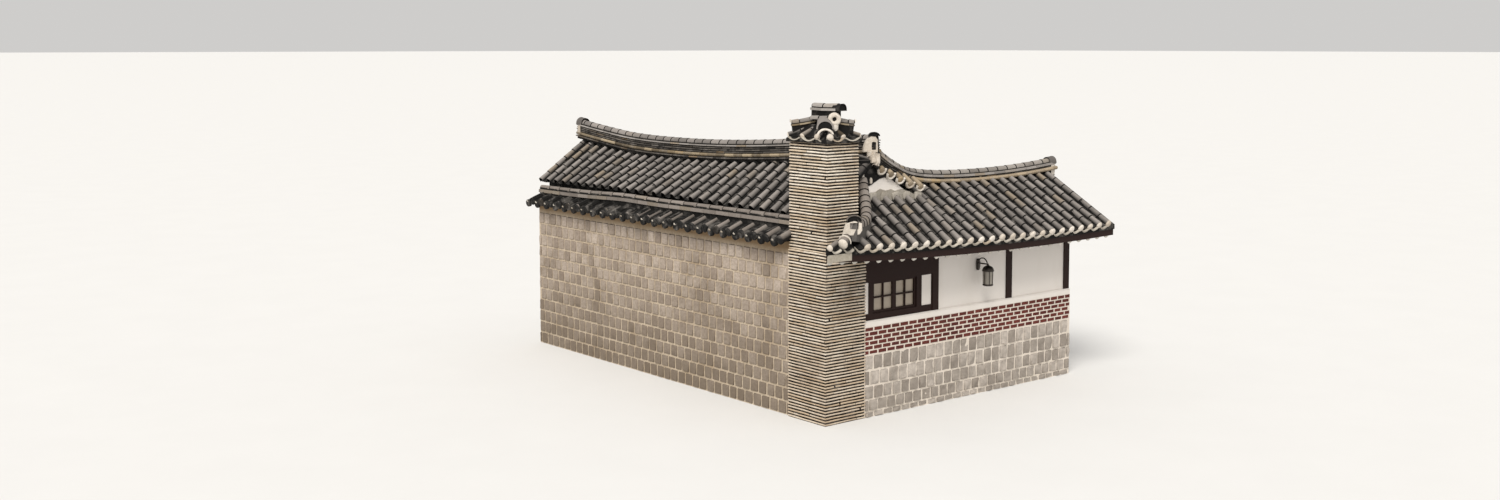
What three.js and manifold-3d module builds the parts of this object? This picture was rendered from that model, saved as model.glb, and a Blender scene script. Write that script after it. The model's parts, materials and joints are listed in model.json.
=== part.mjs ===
// Hanok house on a lane corner: two tile-roofed wings in an L round a courtyard, a stone wall
// along the lane on the west, a stacked-tile chimney on the corner and a brick and plaster south front.
// x runs east along the south front, y runs north along the west wall, z is up.
import * as THREE from 'three';
import { mergeVertices } from 'three/addons/utils/BufferGeometryUtils.js';
import Module from 'manifold-3d';

const wasm = await Module();
wasm.setup();

// Driving dimensions in millimetres. Heights count from the lowest ground.
const GAP = 0.3;
const BELOW = -200;
const ABOVE = 9000;

const SOUTH_LENGTH = 6830;
const SOUTH_DEPTH = 2100;
const WEST_WIDTH = 2730;
const WEST_LENGTH = 10250;
const WALL = 250;
const LANE_WALL = 300;
const LANE_WALL_TOP = 3390;

const STONE_TOP = 1217;
const BRICK_TOP = 1754;
const SILL_TOP = 1870;
const FLOOR_TOP = 1400;
const FLOOR_DEPTH = 200;
const BEAM_BOTTOM = 3150;
const POST = 170;
const POST_SETBACK = 30;
const BEAM_BACK = 230;
const PANEL_FRONT = 60;
const PANEL_BACK = 180;

const CHIMNEY_WEST = -347;
const CHIMNEY_EAST = 660;
const CHIMNEY_NORTH = 1040;
const CHIMNEY_SHOULDER = 3250;
const SHAFT_WEST = -323;
const SHAFT_EAST = 450;
const SHAFT_TOP = 5320;
const CAP_OVERHANG = 60;
const CAP_EDGE = 60;
const CAP_RISE = 270;
const CAP_TOP_HALF = 115;
const CAP_TOP_INSET = 200;
const CAP_RIDGE_TOP = 6060;

const EAVE = 3450;
const EAVE_OVERHANG = 720;
const ROW_OVERHANG = 750;
const SOUTH_PITCH = 0.566;
const SOUTH_RIDGE_Y = 1050;
const ROOF_WEST_END = -970;
const ROOF_EAST_END = 7400;
const WEST_RIDGE_X = 1200;
const WEST_SLOPE_FOOT_X = 20;
const WEST_SLOPE_FOOT = 4000;
const WEST_EAVE_X = 3480;
const GABLE_Y = 420;
const GABLE_BACK = 500;
const GABLE_FOOT_X = 2550;
const BACK_ROWS_FROM = 2400;
const ROOF_NORTH_END = 10650;
const DECK_TOP = -60;
const DECK_BOTTOM = -160;
const SHEATHING_BOTTOM = -275;
const EDGE_BOARD_BOTTOM = -300;
const EDGE_BOARD_FRONT = 700;
const EDGE_BOARD = 25;
const RAFTER_RADIUS = 62;
const RAFTER_LIFT = -335;
const RAFTER_REACH = 640;
const RAFTER_INNER = 185;
const BEAM_LIFT = -412;
const WING_BEAM_LIFT = -440;
const RAFTER_SPACING = 310;

// The west ridge sags: place along y, height of the slopes' meeting line, height of the ridge's top.
const WEST_RIDGE = [[300, 4960, 5440], [1500, 4890, 5330], [2800, 4790, 5220], [4500, 4660, 5110],
  [6150, 4610, 5060], [8160, 4610, 5070], [9500, 4740, 5190], [10680, 4860, 5320]];
const WEST_RIDGE_HALF = 140;

// The south ridge sweeps up at its west end and climbs the west wing's slope to the peak.
const SOUTH_RIDGE = [[1345, 430, 5200], [1560, 450, 5040], [1880, 520, 4890], [2280, 700, 4755],
  [2700, 890, 4670], [3250, 1010, 4590], [4000, SOUTH_RIDGE_Y, 4535], [5200, SOUTH_RIDGE_Y, 4520],
  [6400, SOUTH_RIDGE_Y, 4560], [7430, SOUTH_RIDGE_Y, 4640]];
const SOUTH_RIDGE_HALF = 105;

// The short ridge that comes down beside the chimney to the corner of the eave, and the mortar box
// at its foot. The roof ends along it: the notch is the corner in front of the chimney left open.
const HIP_RIDGE = [[-200, -590, 4000], [20, -490, 3950], [230, -370, 3955], [450, -250, 3990],
  [660, -20, 4200], [820, 200, 4440], [930, 360, 4640]];
const HIP_RIDGE_HALF = 95;
const HIP_BOX = [[-230, -603, 4020], [-140, -566, 4010]];
const HIP_BOX_HALF = 135;
const HIP_DEPTH = 700;
const CORNER_NOTCH = [[-1200, -680], [-970, -680], [-600, -520], [-420, -440], [-100, -220],
  [140, 10], [-1200, 10]];

// Rows of half-round tiles stand on the slopes. The outline gives half widths and heights against
// the slope's surface.
const ROW_SPACING = 310;
const WING_ROW_SPACING = 332;
const WING_FIRST_ROW = 790;
const CAP_ROW_SPACING = 390;
const ROW_OUTLINE = [[-75, -70], [75, -70], [68, 20], [35, 68], [-35, 68], [-68, 20]];
const ROW_TOP = 75;
const ROW_MARGIN = 60;

const COLOURS = {
  stone: 0xb3ab9b, brick: 0x6b2f2a, plaster: 0xd9d3c6, wood: 0x2f2119, chimney: 0xa89c86,
  tile: 0x4a4b4d, glass: 0x6f7a76, floor: 0x5a4433, metal: 0x2b2b2b,
};

// The eave line falls gently from the south-west corner towards the east.
function eaveHeight(x) {
  return EAVE + 0.0056 * x * x / 1000 - 0.0565 * x;
}

function toSolid(geometry) {
  const bare = geometry.clone();
  bare.deleteAttribute('normal');
  bare.deleteAttribute('uv');
  const merged = mergeVertices(bare, 1e-4);
  const vertProperties = new Float32Array(merged.attributes.position.array);
  const triVerts = new Uint32Array(merged.index.array);
  return new wasm.Manifold(new wasm.Mesh({ numProp: 3, vertProperties, triVerts }));
}

function box(x0, x1, y0, y1, z0, z1) {
  const geometry = new THREE.BoxGeometry(x1 - x0, y1 - y0, z1 - z0);
  geometry.translate((x0 + x1) / 2, (y0 + y1) / 2, (z0 + z1) / 2);
  return toSolid(geometry);
}

// A closed body through like rings of points; every ring is a simple outline in its own plane.
function loft(rings) {
  const size = rings[0].length;
  const first = rings[0];
  const origin = new THREE.Vector3(...first[0]);
  const normal = new THREE.Vector3();
  for (let i = 1; i + 1 < size; i += 1) {
    const a = new THREE.Vector3(...first[i]).sub(origin);
    const b = new THREE.Vector3(...first[i + 1]).sub(origin);
    normal.add(a.cross(b));
  }
  normal.normalize();
  const turn = new THREE.Quaternion().setFromUnitVectors(normal, new THREE.Vector3(0, 0, 1));
  const flat = first.map((p) => {
    const q = new THREE.Vector3(...p).sub(origin).applyQuaternion(turn);
    return new THREE.Vector2(q.x, q.y);
  });
  const caps = THREE.ShapeUtils.triangulateShape(flat, []);
  const index = [];
  const last = (rings.length - 1) * size;
  for (const [a, b, c] of caps) {
    index.push(a, b, c);
    index.push(last + a, last + c, last + b);
  }
  for (let k = 0; k + 1 < rings.length; k += 1) {
    for (let i = 0; i < size; i += 1) {
      const j = (i + 1) % size;
      const a = k * size + i;
      const b = k * size + j;
      index.push(a, a + size, b);
      index.push(b, a + size, b + size);
    }
  }
  const points = rings.flat();
  let volume = 0;
  for (let t = 0; t < index.length; t += 3) {
    const [p, q, r] = [0, 1, 2].map((n) => new THREE.Vector3(...points[index[t + n]]));
    volume += p.dot(q.cross(r));
  }
  if (volume < 0) {
    index.reverse();
  }
  const geometry = new THREE.BufferGeometry();
  geometry.setAttribute('position', new THREE.Float32BufferAttribute(points.flat(), 3));
  geometry.setIndex(index);
  return toSolid(geometry);
}

function joined(solids) {
  return solids.reduce((whole, solid) => whole.add(solid));
}

function between(table, at) {
  let k = 0;
  while (k < table.length - 2 && at > table[k + 1][0]) {
    k += 1;
  }
  const [a, b] = [table[k], table[k + 1]];
  return a[1] + (b[1] - a[1]) * (at - a[0]) / (b[0] - a[0]);
}

// Height of the line where the west wing's slopes meet, at a place along y.
function meetingHeight(y) {
  return between(WEST_RIDGE, y);
}

// Everything under the west wing's slopes, raised or lowered by lift, from one y to another.
const WEST_STATIONS = WEST_RIDGE.flatMap(([y], k) => (
  k === 0 ? [y] : [(WEST_RIDGE[k - 1][0] + y) / 2, y]));

function underWest(lift, from, to) {
  const [eave, foot] = [EAVE + lift, WEST_SLOPE_FOOT + lift];
  const whole = loft(WEST_STATIONS.map((y) => {
    const top = meetingHeight(y) + lift;
    return [
      [WEST_SLOPE_FOOT_X, y, BELOW],
      [WEST_EAVE_X, y, BELOW],
      [WEST_EAVE_X, y, eave],
      [(WEST_EAVE_X + WEST_RIDGE_X) / 2, y, (eave + top) / 2],
      [WEST_RIDGE_X, y, top],
      [(WEST_SLOPE_FOOT_X + WEST_RIDGE_X) / 2, y, (foot + top) / 2],
      [WEST_SLOPE_FOOT_X, y, foot],
    ];
  }));
  return whole.intersect(box(-ABOVE, ABOVE, from, to, BELOW - 100, ABOVE));
}

// Everything under the south wing's slopes. West of the valley only the front slope is there,
// and in front of the chimney only a strip of it.
function underSouth(lift) {
  const north = 2 * SOUTH_RIDGE_Y + EAVE_OVERHANG;
  const height = (x, y) => eaveHeight(x) + (y + ROW_OVERHANG) * SOUTH_PITCH + lift;
  const main = [1400, 2800, 4000, 5200, 6400, ROOF_EAST_END].map((x) => [
    [x, -EAVE_OVERHANG, BELOW],
    [x, north, BELOW],
    [x, north, height(x, -EAVE_OVERHANG)],
    [x, SOUTH_RIDGE_Y, height(x, SOUTH_RIDGE_Y)],
    [x, -EAVE_OVERHANG, height(x, -EAVE_OVERHANG)],
  ]);
  const strip = (places, back) => loft(places.map((x) => [
    [x, -EAVE_OVERHANG, BELOW],
    [x, back, BELOW],
    [x, back, height(x, back)],
    [x, -EAVE_OVERHANG, height(x, -EAVE_OVERHANG)],
  ]));
  const notch = loft([BELOW - 1, ABOVE].map((z) => CORNER_NOTCH.map(([x, y]) => [x, y, z])));
  return joined([loft(main), strip([SHAFT_EAST + 1, 900, 1600], GABLE_BACK + 100),
    strip([ROOF_WEST_END, 0, 900], -1).subtract(notch)]);
}

// One straight row of tiles from a low to a high point; side is the way its width runs.
function tileRow(low, high, side, grow) {
  return loft([low, high].map(([x, y, z]) => ROW_OUTLINE.map(([s, h]) => {
    const half = s + Math.sign(s) * grow;
    return [x + side[0] * half, y + side[1] * half, z + h + grow];
  })));
}

// The south wing's rows: in front up to the hip, the gable or the ridge, behind up to the ridge.
function southRows(grow = 0) {
  const surface = (x, y) => eaveHeight(x) + (y + ROW_OVERHANG) * SOUTH_PITCH;
  const rows = [];
  const across = [1, 0];
  for (let x = 0; x < ROOF_EAST_END - ROW_MARGIN; x += ROW_SPACING) {
    const eave = [x, -EAVE_OVERHANG, surface(x, -EAVE_OVERHANG)];
    let top = SOUTH_RIDGE_Y;
    if (x < HIP_RIDGE.at(-1)[0]) {
      top = between(HIP_RIDGE, x);
    } else if (x < GABLE_FOOT_X) {
      top = GABLE_Y - GAP;
    }
    rows.push(tileRow(eave, [x, top, surface(x, top)], across, grow));
    if (x > BACK_ROWS_FROM) {
      const back = [x, 2 * SOUTH_RIDGE_Y + EAVE_OVERHANG, eave[2]];
      rows.push(tileRow(back, [x, SOUTH_RIDGE_Y - 2, surface(x, SOUTH_RIDGE_Y)], across, grow));
    }
  }
  return joined(rows);
}

// The west wing's rows on both slopes.
function wingRows(grow = 0) {
  const rows = [];
  const across = [0, 1];
  for (let y = WING_FIRST_ROW; y < ROOF_NORTH_END - ROW_MARGIN; y += WING_ROW_SPACING) {
    const ridge = [WEST_RIDGE_X, y, meetingHeight(y)];
    const slope = (ridge[2] - WEST_SLOPE_FOOT) / (WEST_RIDGE_X - WEST_SLOPE_FOOT_X);
    const start = y < CHIMNEY_NORTH ? SHAFT_EAST + 2 : WEST_SLOPE_FOOT_X + 5;
    const foot = [start, y, WEST_SLOPE_FOOT + (start - WEST_SLOPE_FOOT_X) * slope];
    rows.push(tileRow(foot, ridge, across, grow));
    rows.push(tileRow([WEST_EAVE_X, y, EAVE], [WEST_RIDGE_X - 2, y, ridge[2]], across, grow));
  }
  return joined(rows);
}

// A ridge: a low upright stack with a rounded top that follows a path of x, y and top height.
// Its foot lies depth below the top, or at one level all along.
function ridgeBody(path, half, depth, grow = 0, level = null) {
  const rings = path.map(([x, y, top], k) => {
    const before = path[Math.max(k - 1, 0)];
    const after = path[Math.min(k + 1, path.length - 1)];
    const along = new THREE.Vector2(after[0] - before[0], after[1] - before[1]).normalize();
    const side = (s, z) => [x - along.y * s, y + along.x * s, z];
    const w = half + grow;
    const foot = level === null ? top - depth : level;
    return [
      side(-w, foot), side(w, foot), side(w, top - 0.75 * half),
      side(0.55 * w, top - 0.2 * half + grow), side(0, top + grow),
      side(-0.55 * w, top - 0.2 * half + grow), side(-w, top - 0.75 * half),
    ];
  });
  return loft(rings);
}

const chimneyRoom = box(CHIMNEY_WEST - GAP, CHIMNEY_EAST + GAP, -GAP, CHIMNEY_NORTH + GAP,
  BELOW, CHIMNEY_SHOULDER + GAP)
  .add(box(SHAFT_WEST - GAP, SHAFT_EAST + GAP, -GAP, CHIMNEY_NORTH + GAP, BELOW, ABOVE));

const parts = new THREE.Group();

function addPart(name, solid, colour, options = {}) {
  const mesh = solid.getMesh();
  const geometry = new THREE.BufferGeometry();
  geometry.setAttribute('position', new THREE.Float32BufferAttribute(mesh.vertProperties, 3));
  geometry.setIndex(Array.from(mesh.triVerts));
  geometry.computeVertexNormals();
  const material = new THREE.MeshStandardMaterial({
    color: COLOURS[colour], roughness: 0.85, metalness: 0, ...options,
  });
  const part = new THREE.Mesh(geometry, material);
  part.name = name;
  parts.add(part);
}

// Chimney: a wide base, a narrower shaft above the eave and a small tiled cap with its own ridge.
function addChimney() {
  addPart('chimney_base', box(CHIMNEY_WEST, CHIMNEY_EAST, 0, CHIMNEY_NORTH, 0, CHIMNEY_SHOULDER),
    'chimney');
  addPart('chimney_shaft', box(SHAFT_WEST, SHAFT_EAST, 0, CHIMNEY_NORTH,
    CHIMNEY_SHOULDER + GAP, SHAFT_TOP), 'chimney');
  const middle = (SHAFT_WEST + SHAFT_EAST) / 2;
  const rectangle = (x0, x1, y0, y1, z) => [[x0, y0, z], [x1, y0, z], [x1, y1, z], [x0, y1, z]];
  const [west, east] = [SHAFT_WEST - CAP_OVERHANG, SHAFT_EAST + CAP_OVERHANG];
  const [south, north] = [-CAP_OVERHANG, CHIMNEY_NORTH + CAP_OVERHANG];
  const foot = SHAFT_TOP + GAP;
  const ridgeFoot = foot + CAP_EDGE + CAP_RISE;
  addPart('chimney_cap', loft([
    rectangle(west, east, south, north, foot),
    rectangle(west, east, south, north, foot + CAP_EDGE),
    rectangle(middle - CAP_TOP_HALF, middle + CAP_TOP_HALF, CAP_TOP_INSET,
      CHIMNEY_NORTH - CAP_TOP_INSET, ridgeFoot),
  ]), 'tile');
  const ends = [CAP_TOP_INSET + 5, CHIMNEY_NORTH - CAP_TOP_INSET - 5];
  addPart('chimney_cap_ridge', ridgeBody(ends.map((y) => [middle, y, CAP_RIDGE_TOP]),
    CAP_TOP_HALF - 25, CAP_RIDGE_TOP - ridgeFoot - GAP), 'tile');
}

// Lane wall with its lean-to tile cap; the west slope's foot rests on the cap's back. The cap's
// ridge wanders a little: place along y and height of its top.
const WALL_CAP_FRONT = -550;
const WALL_CAP_EAVE = 3480;
const WALL_CAP_BACK = 3640;
const WALL_CAP_ROW_TOP = 3605;
const WALL_CAP_FIRST_ROW = 80;
const CAP_RIDGE_X = -96;
const CAP_RIDGE_HALF = 110;
const CAP_RIDGE = [[CHIMNEY_NORTH + GAP, 3900], [3500, 3870], [6500, 3880], [WEST_LENGTH + 60, 3910]];

function addLaneWall() {
  const [from, to] = [CHIMNEY_NORTH + GAP, WEST_LENGTH];
  const foot = LANE_WALL_TOP + GAP;
  const [front, back, slopeFoot] = [WALL_CAP_FRONT, 140, WEST_SLOPE_FOOT_X];
  const underside = LANE_WALL_TOP + 10;
  const profile = [[front, underside], [-LANE_WALL, underside], [-LANE_WALL, foot], [back, foot],
    [back, 4200], [slopeFoot, 4200], [slopeFoot, WALL_CAP_BACK], [-140, WALL_CAP_BACK],
    [front, WALL_CAP_EAVE]];
  const cap = loft([from, to + 50].map((y) => profile.map(([x, z]) => [x, y, z])));
  addPart('west_wall', box(-LANE_WALL, 0, from, to, 0, LANE_WALL_TOP), 'stone');
  const under = underWest(DECK_BOTTOM - GAP, CHIMNEY_NORTH - 100, ROOF_NORTH_END)
    .add(box(-700, WEST_SLOPE_FOOT_X + 5, 0, ROOF_NORTH_END, BELOW, 3800));
  const rows = [];
  for (let y = from + WALL_CAP_FIRST_ROW; y < to; y += CAP_ROW_SPACING) {
    rows.push(tileRow([front, y, WALL_CAP_EAVE],
      [CAP_RIDGE_X - CAP_RIDGE_HALF - GAP, y, WALL_CAP_ROW_TOP], [0, 1], 0));
  }
  addPart('west_wall_cap', cap.intersect(under).add(joined(rows)), 'tile');
  const path = CAP_RIDGE.map(([y, top]) => [CAP_RIDGE_X, y, top]);
  addPart('west_wall_cap_ridge', ridgeBody(path, CAP_RIDGE_HALF, 0, 0, WALL_CAP_BACK + GAP),
    'tile');
}

// South front: stone courses, brick band, sill, timber frame, window bay and plaster bays.
const SOUTH_START = CHIMNEY_EAST + 2 * GAP;
const SOUTH_POSTS = [2560, 4780, 6660];
const WINDOW_HEAD = 2610;
const WINDOW_FOOT = SILL_TOP + 10;

function addSouthFront() {
  addPart('south_stone_base', box(SOUTH_START, SOUTH_LENGTH, 0, WALL, 0, STONE_TOP), 'stone');
  addPart('south_brick_band', box(SOUTH_START, SOUTH_LENGTH, 0, WALL, STONE_TOP + GAP, BRICK_TOP),
    'brick');
  const sill = [[0, BRICK_TOP + GAP], [WALL, BRICK_TOP + GAP], [WALL, SILL_TOP],
    [POST_SETBACK, SILL_TOP], [0, SILL_TOP - 25]];
  addPart('south_sill', loft([SOUTH_START, SOUTH_LENGTH].map((x) => sill.map(([y, z]) => [x, y, z]))),
    'plaster');
  const posts = SOUTH_POSTS.map((x) => box(x, x + POST, POST_SETBACK, POST_SETBACK + POST,
    SILL_TOP + GAP, BEAM_BOTTOM + 20));
  const header = box(SOUTH_START, SOUTH_POSTS[0] + 10, POST_SETBACK, POST_SETBACK + POST,
    WINDOW_HEAD, BEAM_BOTTOM + 20);
  const beam = box(SHAFT_EAST + 2, SOUTH_LENGTH, POST_SETBACK, BEAM_BACK,
    BEAM_BOTTOM + 150, EAVE + 900).add(box(SOUTH_START, SOUTH_LENGTH, POST_SETBACK, BEAM_BACK,
    BEAM_BOTTOM, EAVE));
  addPart('south_frame', joined([...posts, header, beam]).intersect(underSouth(BEAM_LIFT - GAP)),
    'wood');
  SOUTH_POSTS.slice(0, 2).forEach((x, k) => {
    const name = ['south_panel_middle', 'south_panel_east'][k];
    addPart(name, box(x + POST + GAP, SOUTH_POSTS[k + 1] - GAP, PANEL_FRONT, PANEL_BACK,
      SILL_TOP + GAP, BEAM_BOTTOM - GAP), 'plaster');
  });
}

const SASHES = [[922, 1520], [1520, 2118]];
const SASH_FOOT = 1992;
const SASH_HEAD = 2600;
const SASH_FRONT = 70;
const SASH_BACK = 105;
const STILE = 50;
const MUNTIN = 28;

// One sash: a frame with a cross of bars that leaves four panes.
function sash(x0, x1) {
  const middle = (x0 + x1) / 2;
  const level = (SASH_FOOT + SASH_HEAD) / 2;
  const panes = [[x0 + STILE, middle - MUNTIN / 2], [middle + MUNTIN / 2, x1 - STILE]]
    .flatMap(([a, b]) => [[SASH_FOOT + STILE, level - MUNTIN / 2], [level + MUNTIN / 2, SASH_HEAD - 40]]
      .map(([c, d]) => box(a, b, 0, 400, c, d)));
  return box(x0 + GAP, x1 - GAP, SASH_FRONT, SASH_BACK, SASH_FOOT + GAP, SASH_HEAD - GAP)
    .subtract(joined(panes));
}

function addWindowBay() {
  const [left, right] = [SOUTH_START, SOUTH_POSTS[0] - GAP];
  const panels = [[left - 5, 810], [2260, right - 20]];
  const holes = [...panels.map(([a, b]) => box(a, b, 0, 400, 2000, WINDOW_HEAD + 5)),
    box(SASHES[0][0], SASHES[1][1], 0, 400, SASH_FOOT, SASH_HEAD)];
  const frame = box(left, right, 45, 165, WINDOW_FOOT, WINDOW_HEAD - GAP)
    .add(box(left, right, 45, 165, SILL_TOP + GAP, WINDOW_FOOT + 5));
  addPart('window_frame', frame.subtract(joined(holes)), 'wood');
  panels.forEach(([a, b], k) => {
    const from = Math.max(a, left);
    addPart(['window_panel_left', 'window_panel_right'][k],
      box(from + GAP, b - GAP, PANEL_FRONT, 150, 2000 + GAP, WINDOW_HEAD - GAP), 'plaster');
  });
  SASHES.forEach(([a, b], k) => {
    addPart(['sash_left', 'sash_right'][k], sash(a, b), 'wood');
    addPart(['pane_left', 'pane_right'][k], box(a + 10, b - 10, SASH_BACK + GAP, SASH_BACK + 5,
      SASH_FOOT + GAP, SASH_HEAD - 10), 'glass', { transparent: true, opacity: 0.5 });
  });
}

// A plain run of wall for the sides that repeat the front: place maps along, depth and height.
const SIDES = {
  courtyard_west: (a, b, d0, d1) => [WEST_WIDTH - d1, WEST_WIDTH - d0, a, b],
  courtyard_south: (a, b, d0, d1) => [a, b, SOUTH_DEPTH - d1, SOUTH_DEPTH - d0],
};

function run(side, a, b, d0, d1, z0, z1) {
  return box(...SIDES[side](a, b, d0, d1), z0, z1);
}

function timberFrame(side, from, to, posts, roofLift) {
  const uprights = posts.map((a) => run(side, a, a + POST, POST_SETBACK, POST_SETBACK + POST,
    FLOOR_TOP + GAP, BEAM_BOTTOM + 20));
  const beam = run(side, from, to, POST_SETBACK, BEAM_BACK, BEAM_BOTTOM, EAVE + 900);
  return joined([...uprights, beam]).intersect(roofLift);
}

// A plaster bay with a two-sash window let into it.
function addRepeatedWindow(side, number, from, to) {
  const middle = (from + to) / 2;
  const [a, b] = [middle - 598, middle + 598];
  const wall = run(side, from + GAP, to - GAP, PANEL_FRONT, PANEL_BACK, SILL_TOP + GAP,
    BEAM_BOTTOM - GAP);
  const hole = run(side, a - 60, b + 60, 0, 400, 1960, WINDOW_HEAD + 30);
  addPart(`${side}_panel_${number}`, wall.subtract(hole), 'plaster');
  const panes = [];
  for (const [p, q] of [[a, middle], [middle, b]]) {
    const centre = (p + q) / 2;
    for (const [u, v] of [[p + STILE, centre - MUNTIN / 2], [centre + MUNTIN / 2, q - STILE]]) {
      panes.push(run(side, u, v, 0, 400, 2050, 2282));
      panes.push(run(side, u, v, 0, 400, 2310, 2563));
    }
  }
  const window = run(side, a - 60 + GAP, b + 60 - GAP, 45, 120, 1960 + GAP, WINDOW_HEAD + 30 - GAP);
  addPart(`${side}_window_${number}`, window.subtract(joined(panes)), 'wood');
  addPart(`${side}_glass_${number}`, run(side, a, b, 120 + GAP, 125, 2000, 2600), 'glass',
    { transparent: true, opacity: 0.5 });
}

function addCourtyardSides() {
  const west = 'courtyard_west';
  const start = SOUTH_DEPTH - WALL;
  const end = WEST_LENGTH - WALL - GAP;
  const hall = 3980;
  addPart(`${west}_step`, run(west, start, hall + POST / 2, 0, WALL, 0, FLOOR_TOP), 'stone');
  addPart(`${west}_base`, run(west, hall + POST / 2 + GAP, end, 0, WALL, 0, FLOOR_TOP)
    .add(run(west, hall + POST + GAP, end, 0, WALL, 0, SILL_TOP)), 'stone');
  const westPosts = [start + 80, hall, 6030, 8080];
  const frame = timberFrame(west, start, end + WALL, westPosts.slice(0, 2),
    underWest(WING_BEAM_LIFT, GABLE_BACK, ROOF_NORTH_END));
  const upper = joined(westPosts.slice(2).map((a) => run(west, a, a + POST, POST_SETBACK,
    POST_SETBACK + POST, SILL_TOP + GAP, BEAM_BOTTOM + 20)));
  addPart(`${west}_frame`, frame.add(upper), 'wood');
  addRepeatedWindow(west, 1, hall + POST, westPosts[2]);
  addPart(`${west}_panel_2`, run(west, westPosts[2] + POST + GAP, westPosts[3] - GAP, PANEL_FRONT,
    PANEL_BACK, SILL_TOP + GAP, BEAM_BOTTOM - GAP), 'plaster');
  addPart(`${west}_panel_3`, run(west, westPosts[3] + POST + GAP, end + 50, PANEL_FRONT,
    PANEL_BACK, SILL_TOP + GAP, BEAM_BOTTOM - GAP), 'plaster');

  const south = 'courtyard_south';
  const from = WEST_WIDTH + GAP;
  const to = SOUTH_LENGTH - WALL - GAP;
  const door = 4950;
  addPart(`${south}_base`, run(south, from, door - GAP, 0, WALL, 0, FLOOR_TOP)
    .add(run(south, from, door - POST - GAP, 0, WALL, 0, SILL_TOP)), 'stone');
  addPart(`${south}_step`, run(south, door, to, 0, WALL, 0, FLOOR_TOP), 'stone');
  addPart(`${south}_frame`, timberFrame(south, from, SOUTH_LENGTH, [door - POST, to - POST],
    underSouth(BEAM_LIFT - GAP)), 'wood');
  addRepeatedWindow(south, 1, from, door - POST);
}

// End walls: masonry to the sill, then plaster up into the gable.
function addEndWalls() {
  const plaster = [WALL - 170, WALL - 20];
  addPart('east_base', box(SOUTH_LENGTH - WALL, SOUTH_LENGTH, WALL + GAP, SOUTH_DEPTH, 0, SILL_TOP),
    'stone');
  addPart('east_upper_wall', box(SOUTH_LENGTH - plaster[1], SOUTH_LENGTH - 30, BEAM_BACK + GAP,
    SOUTH_DEPTH - BEAM_BACK - GAP, SILL_TOP + GAP, ABOVE).intersect(underSouth(DECK_BOTTOM - GAP)),
    'plaster');
  addPart('north_base', box(GAP, WEST_WIDTH, WEST_LENGTH - WALL, WEST_LENGTH, 0, SILL_TOP), 'stone');
  const inner = WEST_WIDTH - BEAM_BACK - GAP;
  const low = box(GAP, inner, WEST_LENGTH - 180, WEST_LENGTH - 50, SILL_TOP + GAP, 3380);
  const high = box(140 + GAP, inner, WEST_LENGTH - 180, WEST_LENGTH - 50, 3300, ABOVE)
    .intersect(underWest(DECK_BOTTOM - GAP, 500, ROOF_NORTH_END));
  addPart('north_upper_wall', low.add(high), 'plaster');
}

function addFloor() {
  const top = FLOOR_TOP;
  const bottom = FLOOR_TOP - FLOOR_DEPTH;
  const inner = WEST_WIDTH - WALL - GAP;
  const back = SOUTH_DEPTH - WALL - GAP;
  const southRoom = box(CHIMNEY_EAST + GAP, SOUTH_LENGTH - WALL - GAP, WALL + GAP, back, bottom, top);
  const westRoom = box(GAP, inner, CHIMNEY_NORTH + GAP, WEST_LENGTH - WALL - GAP, bottom, top);
  addPart('floor', southRoom.add(westRoom), 'floor');
}

// Roof: a bed of tiles on boards for each wing, with its rows, cut to each other along the valley.
function addRoofs() {
  const southClear = underSouth(DECK_TOP + GAP);
  const westInner = underWest(DECK_BOTTOM, GABLE_BACK, ROOF_NORTH_END + 10);
  const southDeck = underSouth(DECK_TOP).subtract(underSouth(DECK_BOTTOM)).subtract(westInner);
  const westDeck = underWest(DECK_TOP, GABLE_BACK, ROOF_NORTH_END)
    .subtract(underWest(DECK_BOTTOM, GABLE_BACK - 10, ROOF_NORTH_END + 10)).subtract(southClear);
  const frontRows = southRows().subtract(underWest(ROW_TOP, GABLE_BACK, ROOF_NORTH_END));
  const sideRows = wingRows().subtract(underSouth(ROW_TOP));
  addPart('roof_south', southDeck.add(frontRows).subtract(chimneyRoom), 'tile');
  addPart('roof_west', westDeck.add(sideRows).subtract(chimneyRoom), 'tile');
  addPart('gable_south', underWest(DECK_TOP, GABLE_Y, GABLE_BACK - GAP).subtract(southClear)
    .subtract(chimneyRoom), 'plaster');

  const clear = joined([underWest(DECK_TOP + GAP, GABLE_Y - GAP, ROOF_NORTH_END + GAP), southClear,
    southRows(GAP), wingRows(GAP)]);
  const westPath = WEST_RIDGE.map(([y, , top]) => [WEST_RIDGE_X, y, top]);
  addPart('ridge_west', ridgeBody(westPath, WEST_RIDGE_HALF, 480).subtract(clear), 'tile');
  const nearWest = ridgeBody(westPath, WEST_RIDGE_HALF, 900, GAP);
  addPart('ridge_south', ridgeBody(SOUTH_RIDGE, SOUTH_RIDGE_HALF, 480).subtract(clear)
    .subtract(nearWest), 'tile');
  const overRoof = box(-ABOVE, ABOVE, -EAVE_OVERHANG, ABOVE, BELOW, ABOVE);
  addPart('hip_ridge', ridgeBody(HIP_RIDGE, HIP_RIDGE_HALF, HIP_DEPTH)
    .add(ridgeBody(HIP_BOX, HIP_BOX_HALF, HIP_DEPTH)).intersect(overRoof).subtract(clear)
    .subtract(chimneyRoom).subtract(nearWest), 'tile');
}

function rafter(from, to) {
  const [a, b] = [new THREE.Vector3(...from), new THREE.Vector3(...to)];
  const geometry = new THREE.CylinderGeometry(RAFTER_RADIUS, RAFTER_RADIUS, a.distanceTo(b), 8);
  const turn = new THREE.Quaternion().setFromUnitVectors(new THREE.Vector3(0, 1, 0),
    b.clone().sub(a).normalize());
  geometry.applyQuaternion(turn);
  geometry.translate(...a.add(b).multiplyScalar(0.5).toArray());
  return toSolid(geometry);
}

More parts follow.
